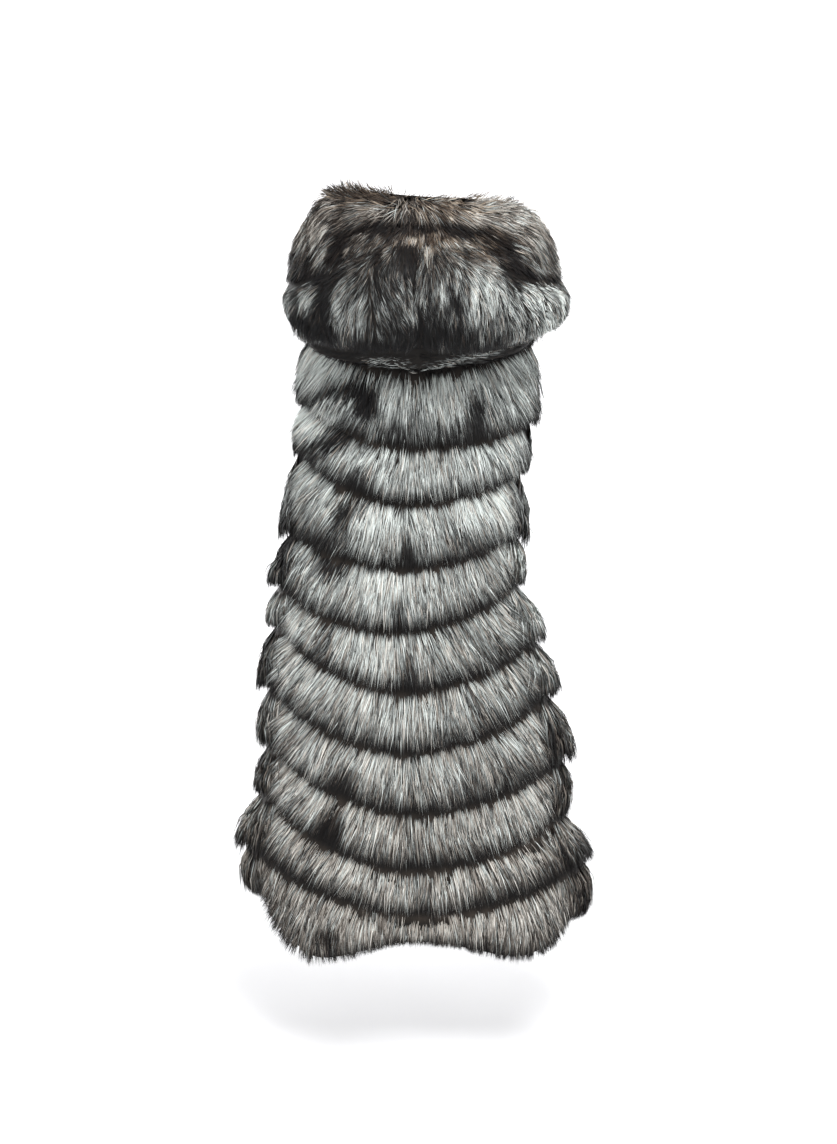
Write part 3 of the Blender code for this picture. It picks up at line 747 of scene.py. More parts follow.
def strip_hairs(draw, ground_at, strip, first, last, count, lean, flat, width, lift, tint):
    """The guard hairs of one strip between two places across it."""
    first_root = YOKE_ROOT if strip == 0 else 0.0
    down = first_root + (LAST_ROOT - first_root) * draw.random(count) ** ROOT_CROWDING
    across = draw.uniform(first, last, count)
    ground = ground_at(strip + down, across)
    share = (across - first) / (last - first)
    x = across * np.median(ground.side_size)
    y = down * np.median(ground.down_size)
    (lock_x, lock_y), (wisp_x, wisp_y), lock_draw, wisp_draw, off_middle = gathered(
        draw, x, y, LOCK_SIZE, WISP_SIZE)
    # Hair lies square to the seam, and leans away from the middle towards both ends.
    turn = (lean(across) * LEANS[strip] + TURN_RIPPLE * ripple(draw, x, y, TURN_SIZE)
            + TURN_LOCK * lock_draw[:, 0] + TURN_WISP * wisp_draw[:, 0]
            + TURN_HAIR * draw.normal(size=count))
    flow = combed(ground, turn)
    ends = RAGGED_HEM if strip == STRIPS - 1 else 1.0
    ragged = SEAM_OVERHANG + ends * (RAGGED_HAIR * draw.normal(size=count)
                                     + RAGGED_LOCK * lock_draw[:, 1])
    length = HAIR_LENGTH * LONGER[strip] * (1 + HAIR_LENGTH_SPREAD * draw.normal(size=count)
                                            + LENGTH_WISP * wisp_draw[:, 1])
    length = np.clip(np.minimum(length, (ragged - down) * ground.down_size / HAIR_LIE),
                     *HAIR_LENGTH_LIMITS)
    fall = end_fall(share) * flat
    if strip == 0:
        # Under the hood the hair is pressed flat.
        fall *= np.clip((down - YOKE_ROOT) / YOKE_PRESS_LENGTH, YOKE_PRESSED, 1.0)
    lifts = lift * fall * (1 + LIFT_HAIR * draw.normal(size=count) + LIFT_LOCK * lock_draw[:, 2])
    droop = HAIR_DROOP + DROOP_HAIR * draw.normal(size=count)
    root = ROOT_DEPTH * np.interp(down, *UNDERFUR_ROWS) * fall
    pull = ((lock_x * LOCK_PULL + wisp_x * WISP_PULL)[:, None] * ground.side
            + (lock_y * LOCK_PULL + wisp_y * WISP_PULL)[:, None] * PULL_DOWN * ground.down)
    middle = ground.point + flow * (length * SILVER_PLACE)[:, None]
    roots = np.clip(1 - down / COMBED_REACH, 0, 1)
    at_end = np.clip(1 - np.minimum(share, 1 - share) / END_REACH, 0, 1)
    # Hairs rooted lower down a strip are darker, partly as painted shade under the band's roll.
    tone = (sum(amount * ripple(draw, x, y, size) for amount, size in TONE_RIPPLES)
            + LIGHTER[strip] + tint + TONE_TOP - TONE_SHADE_FALL * down
            + TONE_WISP * wisp_draw[:, 2] + TONE_LOCK * lock_draw[:, 3]
            + patch_change(PATCHES, middle)
            - (TONE_GAP + TONE_COMBED * roots) * off_middle - TONE_END * at_end)
    shade = hair_shades(draw, count) + tone + TONE_HAIR * draw.normal(size=count)
    warm_share = WARM_FIRST + WARM_STEP * strip + WARM_STEP * max(strip - WARM_STRIP, 0)
    warm = (draw.random(count) < warm_share).astype(float)
    shift = np.clip(SHIFT_MIDDLE - SHIFT_EDGE * off_middle + SHIFT_WISP * wisp_draw[:, 3]
                    + EARLIER[strip] + SHIFT_DOWN * down, *SHIFT_LIMITS)
    return hair_blades(draw, ground, flow, length, lifts, droop, root,
                       hair_widths(draw, width, count), shade, warm, pull, shift)


FUZZ_REACH = 0.30
FUZZ_TURN = 0.25
FUZZ_LENGTHS = (0.016, 0.028)
FUZZ_DEPTH = 0.6
FUZZ_LIFT = 0.5
FUZZ_WIDTH = 0.0016
FUZZ_SHADES = (0.1, 0.9)
FUZZ_BAND = (0.056, 0.082)


def strip_fuzz(draw, ground_at, strip, first, last, count, flat):
    """Soft dark underfur that shows between a strip's upper seam and its guard hairs."""
    down = (YOKE_ROOT if strip == 0 else 0.0) + FUZZ_REACH * draw.random(count)
    across = draw.uniform(first, last, count)
    ground = ground_at(strip + down, across)
    share = (across - first) / (last - first)
    flow = combed(ground, FUZZ_TURN * draw.normal(size=count))
    length = draw.uniform(*FUZZ_LENGTHS, count)
    fall = end_fall(share) * flat
    root = FUZZ_DEPTH * np.interp(down, *UNDERFUR_ROWS) * fall
    none = np.zeros(count)
    return hair_blades(draw, ground, flow, length, FUZZ_LIFT * fall, none, root,
                       none + FUZZ_WIDTH, draw.uniform(*FUZZ_SHADES, count),
                       draw.integers(0, HAIR_KINDS, count), np.zeros((count, 3)), none,
                       FUZZ_BAND)


BACK_LEAN = 0.26
BACK_LEAN_POWER = 1.6


def back_lean(across):
    return BACK_LEAN * np.sign(across) * np.abs(across) ** BACK_LEAN_POWER


def add_piece(name, data, node):
    """Shows a finished piece in place of its solid."""
    piece = bpy.data.objects.new(name, data)
    bpy.context.scene.collection.objects.link(piece)
    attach(piece, "root")
    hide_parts(node)
    return piece


def add_strip(node, strip, seed, ground_at, ends, counts, columns, lean, width, lift, tint):
    """One fur strip of a panel, from its leather to its hair."""
    draw = np.random.default_rng(seed)
    flat = YOKE_FLAT if strip == 0 else 1.0

    def shares_to_ground(share, down):
        low, high = ends
        return ground_at(strip + SKIN_CLEAR + (1 - 2 * SKIN_CLEAR) * down,
                         low + (high - low) * (SKIN_CLEAR + (1 - 2 * SKIN_CLEAR) * share))

    def under(share, down):
        height = np.interp(down, *UNDERFUR_ROWS) * end_fall(share) * flat
        return height * (1 + TUFT_SWELL * np.sin(share * columns * TUFT_PACE[0])
                         * np.sin(down * TUFT_PACE[1]))

    wall = skin_wall(shares_to_ground, columns, STRIP_ROWS, lambda share, down: share * 0.0,
                     under)
    hairs = strip_hairs(draw, ground_at, strip, *ends, counts[0], lean, flat, width, lift, tint)
    fuzz = strip_fuzz(draw, ground_at, strip, *ends, counts[1], flat)
    data = joined("fur_" + node, (wall, hairs, fuzz), (fox_hair, fox_leather))
    return add_piece("fur_" + node, data, node)


back_furs = [add_strip(f"back_strip_{strip:02d}", strip, BACK_SEED + strip, back_ground,
                       (-1.0, 1.0), (BACK_HAIRS, BACK_FUZZ), BACK_COLUMNS, back_lean,
                       HAIR_WIDTH, HAIR_LIFT, 0.0)
             for strip in range(STRIPS)]


# Left and right fronts: the same eleven fur strips, sewn to the back at the sides and the
# shoulders, cut away for the armhole and free at the front edge, where the hair leans out.
FRONT_NECK_SHARE = 0.5
YOKE_BEND_FRONT = (0.60, 0.70)
FRONT_HAIRS = 3600
FRONT_FUZZ = 400
FRONT_COLUMNS = 28
FRONT_SEEDS = {"left": 2050, "right": 1950}
FRONT_WIDTH = 0.0017
FRONT_LIFT = 0.72
FRONT_TINT = -0.14
EDGE_LEAN, ARMHOLE_LEAN = 0.35, 0.20
FRONTS = (("left", 1.0), ("right", -1.0))


def front_skin(side, seam, across):
    """A front's skin, from its side seam or armhole edge (across 0) to its front edge (1)."""
    opening = np.sqrt(np.maximum(1 - (seam / ARMHOLE_STRIPS) ** 2, 0.0))
    start = SIDE_SEAM + ARMHOLE_FRONT * opening
    angle = start + (seam_value("edge", np.maximum(seam, 1.0)) - start) * across
    first = SIDE_SEAM + ARMHOLE_FRONT * math.sqrt(1 - 1 / ARMHOLE_STRIPS ** 2)
    bottom = first + (seam_value("edge", 1.0) - first) * across
    at_shoulder = shoulder_seam(side, 1 - across / FRONT_NECK_SHARE)
    past = (across - FRONT_NECK_SHARE) / (1 - FRONT_NECK_SHARE)
    at_neck = neckline(side * (90.0 + (NECK_FRONT_ANGLE - 90.0) * np.maximum(past, 0.0)))
    top = np.where((across <= FRONT_NECK_SHARE)[..., None], at_shoulder, at_neck)
    upper = yoke(np.minimum(seam, 1.0), top, body_ring(seam * 0 + 1.0, side * bottom),
                 YOKE_BEND_FRONT)
    return np.where((seam >= 1.0)[..., None], body_ring(seam, side * angle), upper)


def front_lean(across):
    """Hair leans out over the armhole or side seam at one end and the front edge."""
    return EDGE_LEAN * np.abs(across) ** 2 - ARMHOLE_LEAN * (1 - across) ** 3


front_grounds, front_furs = {}, {}
for name, side in FRONTS:
    front_grounds[name] = partial(Ground, partial(front_skin, side), steps=STRIP_STEPS,
                                  outward=side)
    front_furs[name] = [
        add_strip(f"{name}_front_strip_{strip:02d}", strip, FRONT_SEEDS[name] + strip,
                  front_grounds[name], (0.0, 1.0), (FRONT_HAIRS, FRONT_FUZZ), FRONT_COLUMNS,
                  front_lean, FRONT_WIDTH, FRONT_LIFT, FRONT_TINT)
        for strip in range(STRIPS)]


# Hood: a deep fur sack sewn to the neckline, which lies down on the back with its mouth open
# upwards. Its base folds under it, two crowns and two sides are joined over that, and a
# long-haired trim runs round the mouth.
HOOD_ANGLES = (-150, -115, -85, -50, 0, 50, 85, 115, 150)
# Distance from the neckline and height, in millimetres, at the base, edge, tuck, low, high,
# groove and rim lines of the hood, one row for each angle.
HOOD_SECTIONS = np.array((
    ((20, -58), (42, -62), (52, -62), (62, -54), (66, -40), (58, -26), (38, 4)),
    ((45, 18), (88, -12), (106, -20), (126, -26), (134, -12), (124, 6), (92, 50)),
    ((45, 42), (112, 4), (134, -18), (158, -52), (166, -36), (156, -8), (122, 62)),
    ((55, 18), (140, -125), (162, -115), (200, -92), (200, -50), (164, -10), (128, 106)),
    ((58, -2), (104, -155), (128, -130), (165, -98), (170, -10), (136, 48), (122, 120)),
    ((55, 18), (138, -128), (158, -118), (184, -92), (186, -50), (152, -10), (102, 126)),
    ((45, 42), (108, 6), (127, -14), (139, -48), (142, -32), (134, -8), (108, 56)),
    ((45, 18), (86, -12), (102, -20), (120, -26), (128, -12), (118, 6), (88, 50)),
    ((20, -58), (42, -62), (52, -62), (62, -54), (66, -40), (58, -26), (38, 4)),
)) / 1000
HOOD_NECK_LIFT = 0.009
HOOD_FRONT = 150.0
CROWN_RIGHT = -34.0
CROWN_LEFT = 50.0
HOOD_STEPS = (0.05, 1.0)

# Which way the hair runs, seen from behind: x and z of a place in millimetres, and the
# way's x and z in hundredths.
HOOD_FLOWS = np.array((
    (202, -26, 45, -89), (201, 24, 50, -87), (175, 58, 58, -81), (150, 91, 60, -80),
    (133, 124, 89, 45), (99, 132, 90, 40), (108, 74, 86, -51), (57, 107, 99, -11),
    (57, 74, 80, -60), (14, 128, -45, -89), (-3, 69, 0, -100), (-45, 116, -90, -43),
    (-53, 83, -85, -50), (-104, 99, -99, -10), (-138, 107, -99, -10), (-172, 91, -94, -34),
    (-206, 58, -86, -50), (-232, 7, -86, -51), (-241, -35, -71, -71), (-189, 16, -80, -60),
    (-138, 58, -93, -36), (-207, -35, -65, -76), (82, 41, 51, -86), (116, -1, 45, -89),
    (125, -52, 30, -95), (117, -102, 15, -99), (57, 16, 10, -100), (40, -35, -25, -97),
    (14, -68, -41, -91), (66, -85, 0, -100), (-20, 32, -10, -100), (-11, -18, 25, -97),
    (-37, -1, -20, -98), (-79, 24, -76, -65), (-113, 7, -71, -71), (-147, -26, -50, -87),
    (-105, -52, -25, -97), (-62, -85, -10, -100), (-20, -102, 10, -100), (-139, -85, -15, -99),
    (185, -52, 30, -95), (-207, -68, -60, -80), (-233, -111, -71, -71), (-182, -102, -35, -94),
    (66, -128, 30, -95), (-4, -145, 0, -100), (-88, -136, -25, -97), (-191, -119, -45, -89),
    (168, -119, 51, -86), (45, 130, 92, 30), (155, 111, 50, -87),
)) / (1000, 1000, 100, 100)
# Patches of the hood, given as for the pelts: lighter and darker places of the fur's own colour,
# and darker ones along the groove, the cleft between the lobes and the tuck, which are painted
# shade.
HOOD_PATCHES = np.array((
    (193, 7, 24, 17, -35), (168, -20, 45, 14, -50), (133, 19, 17, 38, -50),
    (43, 61, 43, 12, -40), (-19, 69, 34, 10, -45), (-84, 56, 38, 10, -50),
    (-138, 32, 22, 21, -40), (-159, -3, 22, 22, -45), (-200, -20, 45, 10, -50),
    (82, 27, 52, 26, -15), (18, 21, 10, 13, -50), (117, -82, 38, 38, 20),
    (11, -62, 14, 26, 25), (-3, 53, 41, 14, 12), (-45, 34, 38, 15, 12),
    (-105, -35, 31, 52, 35), (-62, -26, 29, 31, 8), (-121, 32, 21, 14, -20),
    (-4, -94, 10, 34, -35), (-20, -107, 100, 19, -50), (66, -129, 52, 14, -45),
    (-105, -128, 55, 10, -40), (104, -140, 41, 14, -50), (181, -52, 15, 24, 40),
    (154, -52, 15, 34, -30), (202, -89, 21, 14, -60), (160, -104, 28, 14, -50),
    (-199, -55, 45, 21, 40), (-225, -95, 28, 21, 30), (32, -155, 41, 7, 15),
    (-74, -145, 69, 7, 15), (-191, -124, 45, 9, 10), (-40, 107, 41, 14, 8),
    (-80, 84, 34, 14, 12), (45, 122, 50, 16, -32), (117, 127, 36, 16, -25),
    (-189, 83, 45, 21, 28), (-208, 12, 31, 15, -15), (-146, 74, 24, 15, 5),
    (79, 89, 38, 15, 8), (158, 58, 28, 21, 5),
)) / PATCH_UNITS
# Where the hair is sandy: x and z, half width and half height, in millimetres.
SANDY_PLACES = np.array(((-20, 46, 55, 20), (75, 125, 70, 25),
                         (-115, 35, 35, 22), (-50, 100, 60, 22))) / 1000


def hood_skin(line, angle):
    """The hood's skin at a line of its section, 0 at the neck, and an angle round the neck."""
    start = neckline(angle)
    place = np.interp(angle, HOOD_ANGLES, np.arange(len(HOOD_ANGLES)))
    lines = HOOD_SECTIONS.shape[1]
    distances = [line * 0.0] + [along_curve(HOOD_SECTIONS[:, index, 0], place)
                                for index in range(lines)]
    heights = [start[..., 2] + HOOD_NECK_LIFT] + [along_curve(HOOD_SECTIONS[:, index, 1], place)
                                                  for index in range(lines)]
    distance = along_curve(np.stack(distances, -1), line)
    turn = np.radians(angle)
    return np.stack((start[..., 0] + np.sin(turn) * distance,
                     start[..., 1] + np.cos(turn) * distance,
                     along_curve(np.stack(heights, -1), line)), -1)


hood_ground = partial(Ground, hood_skin, steps=HOOD_STEPS, outward=-1.0)

FLOW_BLUR, FLOW_POWER = 0.00008, 1.5
# In front the hair runs forwards and down. The table's way fades in from this y on.
FRONT_FORWARDS, FRONT_DOWN = 0.9, -0.45
BEHIND_FROM, BEHIND_DEPTH = -0.06, 0.08


def hood_flow(ground, angle):
    """The hair's way along the skin: as the table says behind, and forwards in front."""
    away = ((ground.point[:, None, 0] - HOOD_FLOWS[None, :, 0]) ** 2
            + (ground.point[:, None, 2] - HOOD_FLOWS[None, :, 1]) ** 2)
    weight = 1.0 / (away + FLOW_BLUR) ** FLOW_POWER
    way = (weight[:, :, None] * HOOD_FLOWS[None, :, 2:]).sum(1) / weight.sum(1)[:, None]
    behind = np.stack((way[:, 0], way[:, 0] * 0.0, way[:, 1]), -1)
    front = (ground.side * np.sign(angle)[:, None] * FRONT_FORWARDS
             + np.array((0.0, 0.0, FRONT_DOWN)))
    share = np.clip((ground.point[:, 1] - BEHIND_FROM) / BEHIND_DEPTH, 0.0, 1.0)[:, None]
    wanted = behind * share + front * (1 - share)
    return unit(wanted - ground.out * np.sum(wanted * ground.out, -1)[:, None])


# The hood's hair is silver nearer to the skin and to its tips than the body's. It is short
# and darker in the tuck and below the fold, painted shade under the lobes and the fold's
# edge, and a painted highlight runs along the folded edge, in a shallow V.
HOOD_BAND = (0.27, 0.72)
TUCK_LINES = (0.0, 1.8, 2.75, 3.2, 3.6)
TUCK_SHADE_TONES = (-0.5, -0.55, -0.7, -0.5, 0.0)
TUCK_SHORT = ((1.6, 1.9, 2.3, 3.0), (1.0, 0.8, 0.7, 0.5))
# The lobes and the fold's point: how far they stand out, their middles and half widths in
# degrees and lines.
LOBE_PUFF = 0.018
LOBES = ((17.5, 17.5), (-18.0, 18.0))
LOBE_LINES = (4.7, 1.65)
FOLD_PUFF = 0.012
FOLD_POINT = 7.0
FOLD_PUFF_LINES = (2.0, 0.9)
# A painted highlight along the folded edge: its strength, its line at the point, how much higher
# it runs per degree and its width, the angles where it ends and how fast it fades.
FOLD_HIGHLIGHT, FOLD_LINE, FOLD_SLANT, FOLD_WIDTH = 0.80, 2.22, 0.016, 0.21
FOLD_ENDS, FOLD_FADE = (-44, 20), 12
TRIM_LINE = 6.0
GROOVE_RISE, GROOVE_MIDDLE, GROOVE_HALF, GROOVE_SOFT = 0.45, -1, 37, 2.5
# Length, lift, tone and stop line of the trim's hair that grows below the groove.
BELOW_GROOVE = (0.050, 0.45, -0.24, 3.3)
# Valleys: middle and width in degrees. The right one starts above a line. The cleft leans.
LEFT_VALLEY, RIGHT_VALLEY = (34, 4.0), (-35, 3.5)
RIGHT_VALLEY_FROM, RIGHT_VALLEY_FADE = 4.6, 0.5
CLEFT_MIDDLE, CLEFT_LEAN, CLEFT_LINE, CLEFT_WIDTH, CLEFT_TOP = 2.5, 3.7, 3.7, 1.8, 5.8
CROWN_LINE = 3.0


def mound(values, middle, half):
    """1 at the middle, rounded down to 0 at a half width from it."""
    return np.clip(1 - ((values - middle) / half) ** 2, 0, None)


def bell(values, middle, width):
    """1 at the middle, fading out smoothly on both sides."""
    return np.exp(-((values - middle) / width) ** 2)


def lobe_puff(line, angle):
    """How far the fur stands out over the crowns' two lobes and at the fold's point."""
    lobes = sum(mound(angle, *lobe) for lobe in LOBES) * mound(line, *LOBE_LINES)
    point = np.exp(-np.abs(angle) / FOLD_POINT) * mound(line, *FOLD_PUFF_LINES)
    return LOBE_PUFF * lobes + FOLD_PUFF * point


def fold_highlight(line, angle):
    """A painted highlight along the folded edge: most at its point, fading out towards both ends.
    """
    middle = FOLD_LINE + FOLD_SLANT * np.abs(angle)
    past_left = np.clip(angle - FOLD_ENDS[1], 0, None) / FOLD_FADE
    past_right = np.clip(FOLD_ENDS[0] - angle, 0, None) / FOLD_FADE
    fade = np.exp(-past_left ** 2 - past_right ** 2)
    return FOLD_HIGHLIGHT * fade * bell(line, middle, FOLD_WIDTH)


def groove_line(angle):
    """The line of the groove under the trim, higher behind than at the sides."""
    past = (np.abs(angle - GROOVE_MIDDLE) - GROOVE_HALF) / GROOVE_SOFT
    return TRIM_LINE + GROOVE_RISE / (1 + np.exp(past))


def lobed_skin(line, angle):
    """The hood's skin raised over its lobes."""
    flat = hood_ground(line, angle)
    return flat.point + flat.out * lobe_puff(line, angle)[:, None]


lobed_ground = partial(Ground, lobed_skin, steps=HOOD_STEPS, outward=-1.0)


def valley(line, angle):
    """How deep a hair lies in the valleys between the lobes and the sides, from 0 to 1."""
    left = bell(angle, *LEFT_VALLEY)
    right = bell(angle, *RIGHT_VALLEY) * np.clip((line - RIGHT_VALLEY_FROM) / RIGHT_VALLEY_FADE,
                                                 0, 1)
    cleft = (bell(angle + CLEFT_MIDDLE - CLEFT_LEAN * (line - CLEFT_LINE), 0, CLEFT_WIDTH)
             * (line < CLEFT_TOP))
    return (left + right + cleft) * (line > CROWN_LINE) * (line < TRIM_LINE)


# Metres of the hood's back to a degree round the neck, and its locks' and wisps' sizes.
DEGREE_SIZE = 0.0042
HOOD_LOCK = 0.022
HOOD_WISP = 0.009
HOOD_LOCK_PULL = (0.30, 0.10)
HOOD_WISP_PULL = (0.55, 0.2)
HOOD_ROOT_DEPTH = 0.95
# How much its way, length, lift and droop differ by lock, wisp, ripple and hair.
HOOD_TURN_LOCK, HOOD_TURN_WISP, HOOD_TURN_RIPPLE, HOOD_TURN_HAIR = 0.10, 0.07, 0.16, 0.07
HOOD_RIPPLE = 0.05
HOOD_LENGTH_HAIR, HOOD_LENGTH_LOCK, HOOD_LENGTH_WISP = 0.14, 0.10, 0.07
HOOD_LENGTH_LIMITS = (0.5, 1.4)
HOOD_SHORTEST = 0.010
HOOD_LIFT_HAIR, HOOD_LIFT_LOCK = 0.16, 0.15
HOOD_DROOP, HOOD_DROOP_HAIR, HOOD_DROOP_LOCK = -0.18, 0.16, 0.10
HANG_LIMITS, STOP_RAGGED = (0.3, 1.0), 0.004
# How light it is, how much darker between wisps, and the painted shade in the valleys.
HOOD_TONE, HOOD_TONE_RIPPLE, HOOD_TONE_HAIR, HOOD_TONE_WISP = 0.04, 0.08, 0.08, 0.12
HOOD_TONE_GAP, VALLEY_SHADE = 0.28, 0.32
HOOD_SHIFT_MIDDLE, HOOD_SHIFT_EDGE, HOOD_SHIFT_LIMITS = 0.05, 0.20, (-0.16, 0.2)
# Shorter in front, from one angle on, and shorter and flatter in the valleys.
FRONT_FROM, FRONT_SPAN, FRONT_SHORT = 95, 55, 0.35
VALLEY_SHORT, VALLEY_FLAT = 0.3, 0.35
# The patches lie behind, and fade to a least share in front.
PATCH_FROM, PATCH_DEPTH, PATCH_LEAST = -0.10, 0.08, 0.3
# The rim's hair stands up from one line to the next, most behind. The fold's lies
# lengthwise below a line. The trim's hair parts at one x above a line.
RIM_FROM, RIM_HEIGHT = 6.7, 0.3
RIM_RISE, RIM_LIFT, RIM_SHORT = (-0.1, 0.9), 0.35, 0.5
RIM_BEHIND = (2, 30)
FOLD_TOP, FOLD_LENGTHWISE, FOLD_EVEN = 2.8, 0.85, 0.8
EVEN_SHADE = 0.62
PARTING_X, PARTING_WIDTH, PARTING_FROM, PARTING_TURN = 0.03, 0.025, 6.3, 0.6
# Painted shade in the groove under the trim: darkest just above it, less below, and its width in
# lines.
GROOVE_SHADE_TONES, GROOVE_WIDTH = (-0.45, -0.12), 0.13
WARM_HOOD, WARM_HIGH, WARM_FROM, WARM_HEIGHT = 0.15, 0.65, -0.05, 0.10
SANDY_SHARE = 0.75


def hood_hairs(draw, lines, angles, height_at, count, length, lift, width, tone, curl, stop,
               grain):
    """Hairs spread evenly over a piece of the hood, none hanging past its stop line."""
    line = draw.uniform(*lines, count * 3)
    angle = draw.uniform(*angles, count * 3)
    ground = hood_ground(line, angle)
    room = ground.down_size * ground.side_size
    picked = draw.choice(count * 3, count, replace=False, p=room / room.sum())
    line, angle = line[picked], angle[picked]
    ground = lobed_ground(line, angle)
    groove = groove_line(angle)
    below = (line > TRIM_LINE) & (line < groove)
    stop = stop + (groove - TRIM_LINE) * (line > TRIM_LINE)
    length, lift, tone, stop = (np.where(below, own, given) for own, given
                                in zip(BELOW_GROOVE, (length, lift, tone, stop)))
    # At the rim the hair stands up and falls over it to both sides.
    rim = np.clip((line - RIM_FROM) / RIM_HEIGHT, 0, 1)
    behind = bell(angle, *RIM_BEHIND)
    rise = rim * draw.uniform(*RIM_RISE, count) * (1 + behind)
    flow = unit(hood_flow(ground, angle) + ground.down * rise[:, None])
    # Along the folded edge it lies lengthwise.
    fold = FOLD_LENGTHWISE * (line < FOLD_TOP)
    flow = unit(flow * (1 - fold)[:, None] + ground.side * (fold * np.sign(angle))[:, None])
    sideways = np.cross(flow, ground.out)
    x = angle * DEGREE_SIZE * grain[0]
    y = (ground.point[:, 2] + ground.point[:, 1] * 0.5) * grain[1]
    (lock_x, lock_y), (wisp_x, wisp_y), lock_draw, wisp_draw, off_middle = gathered(
        draw, x, y, HOOD_LOCK, HOOD_WISP)
    parting = (PARTING_TURN * bell(ground.point[:, 0], PARTING_X, PARTING_WIDTH)
               * (line > PARTING_FROM))
    turn = (curl * (HOOD_TURN_LOCK * lock_draw[:, 0] + HOOD_TURN_WISP * wisp_draw[:, 0]
                    + HOOD_TURN_RIPPLE * ripple(draw, x, y, HOOD_RIPPLE))
            + (HOOD_TURN_HAIR + parting) * draw.normal(size=count))
    flow = flow * np.cos(turn)[:, None] + sideways * np.sin(turn)[:, None]
    lengths = length * (1 + HOOD_LENGTH_HAIR * draw.normal(size=count)
                        + HOOD_LENGTH_LOCK * lock_draw[:, 1]
                        + HOOD_LENGTH_WISP * wisp_draw[:, 1]).clip(*HOOD_LENGTH_LIMITS)
    # It is shorter in front, in the valleys, in the tuck and behind at the rim.
    front = np.clip((np.abs(angle) - FRONT_FROM) / FRONT_SPAN, 0, 1)
    deep = valley(line, angle)
    lengths *= ((1 - FRONT_SHORT * front) * (1 - VALLEY_SHORT * deep)
                * np.interp(line, *TUCK_SHORT))
    lengths *= 1 - RIM_SHORT * rim * behind
    fall = np.clip(-np.sum(flow * ground.down, -1), *HANG_LIMITS)
    room = ((line - stop) * ground.down_size
            + STOP_RAGGED * (draw.normal(size=count) + lock_draw[:, 1]))
    lengths = np.clip(np.minimum(lengths, room / fall), HOOD_SHORTEST, None)
    lifts = (lift * (1 + HOOD_LIFT_HAIR * draw.normal(size=count)
                     + HOOD_LIFT_LOCK * lock_draw[:, 2]) * (1 - VALLEY_FLAT * deep))
    lifts += RIM_LIFT * rim
    droop = (HOOD_DROOP + HOOD_DROOP_HAIR * draw.normal(size=count)
             + HOOD_DROOP_LOCK * lock_draw[:, 3])
    spread = np.cross(ground.side, ground.out)
    pull = ((lock_x * HOOD_LOCK_PULL[0] + wisp_x * HOOD_WISP_PULL[0])[:, None] * ground.side
            + (lock_y * HOOD_LOCK_PULL[1] + wisp_y * HOOD_WISP_PULL[1])[:, None] * -spread)
    middle = ground.point + flow * (lengths * SILVER_PLACE)[:, None]
    back = np.clip((ground.point[:, 1] - PATCH_FROM) / PATCH_DEPTH, PATCH_LEAST, 1.0)
    even = (line < FOLD_TOP) * FOLD_EVEN
    # Painted shade along the groove.
    groove_shade = np.where(line > groove, *GROOVE_SHADE_TONES) * bell(line, groove, GROOVE_WIDTH)
    own = hair_shades(draw, count)
    # Its shade takes in the painted shade of the valleys, the tuck and the groove, and the
    # painted highlight along the folded edge.
    shade = (own + (EVEN_SHADE - own) * even + tone
             + HOOD_TONE_RIPPLE * ripple(draw, x, y, HOOD_RIPPLE) + HOOD_TONE
             + back * patch_change(HOOD_PATCHES, middle)
             + HOOD_TONE_HAIR * draw.normal(size=count)
             + (HOOD_TONE_WISP * wisp_draw[:, 2] - HOOD_TONE_GAP * off_middle) * (1 - even)
             - VALLEY_SHADE * deep + np.interp(line, TUCK_LINES, TUCK_SHADE_TONES) + groove_shade
             + fold_highlight(line, angle))
    high = np.clip((middle[:, 2] - WARM_FROM) / WARM_HEIGHT, 0, 1)
    kind = (draw.random(count) < WARM_HOOD + WARM_HIGH * high).astype(float)
    sandy = np.zeros(count)
    for place_x, place_z, half_width, half_height in SANDY_PLACES:
        near = (((middle[:, 0] - place_x) / half_width) ** 2
                + ((middle[:, 2] - place_z) / half_height) ** 2)
        sandy = np.maximum(sandy, np.exp(-near))
    kind = np.where(draw.random(count) < SANDY_SHARE * sandy, 2.0, kind)
    shift = np.clip(HOOD_SHIFT_MIDDLE - HOOD_SHIFT_EDGE * off_middle
                    + SHIFT_WISP * wisp_draw[:, 3], *HOOD_SHIFT_LIMITS)
    return hair_blades(draw, ground, flow, lengths, lifts, droop,
                       HOOD_ROOT_DEPTH * height_at(line), hair_widths(draw, width, count), shade,
                       kind, pull, shift, HOOD_BAND)


BASE_LINES, CROWN_LINES = (0.0, CROWN_LINE), (CROWN_LINE, TRIM_LINE)
TRIM_LINES = (TRIM_LINE, 7.0)
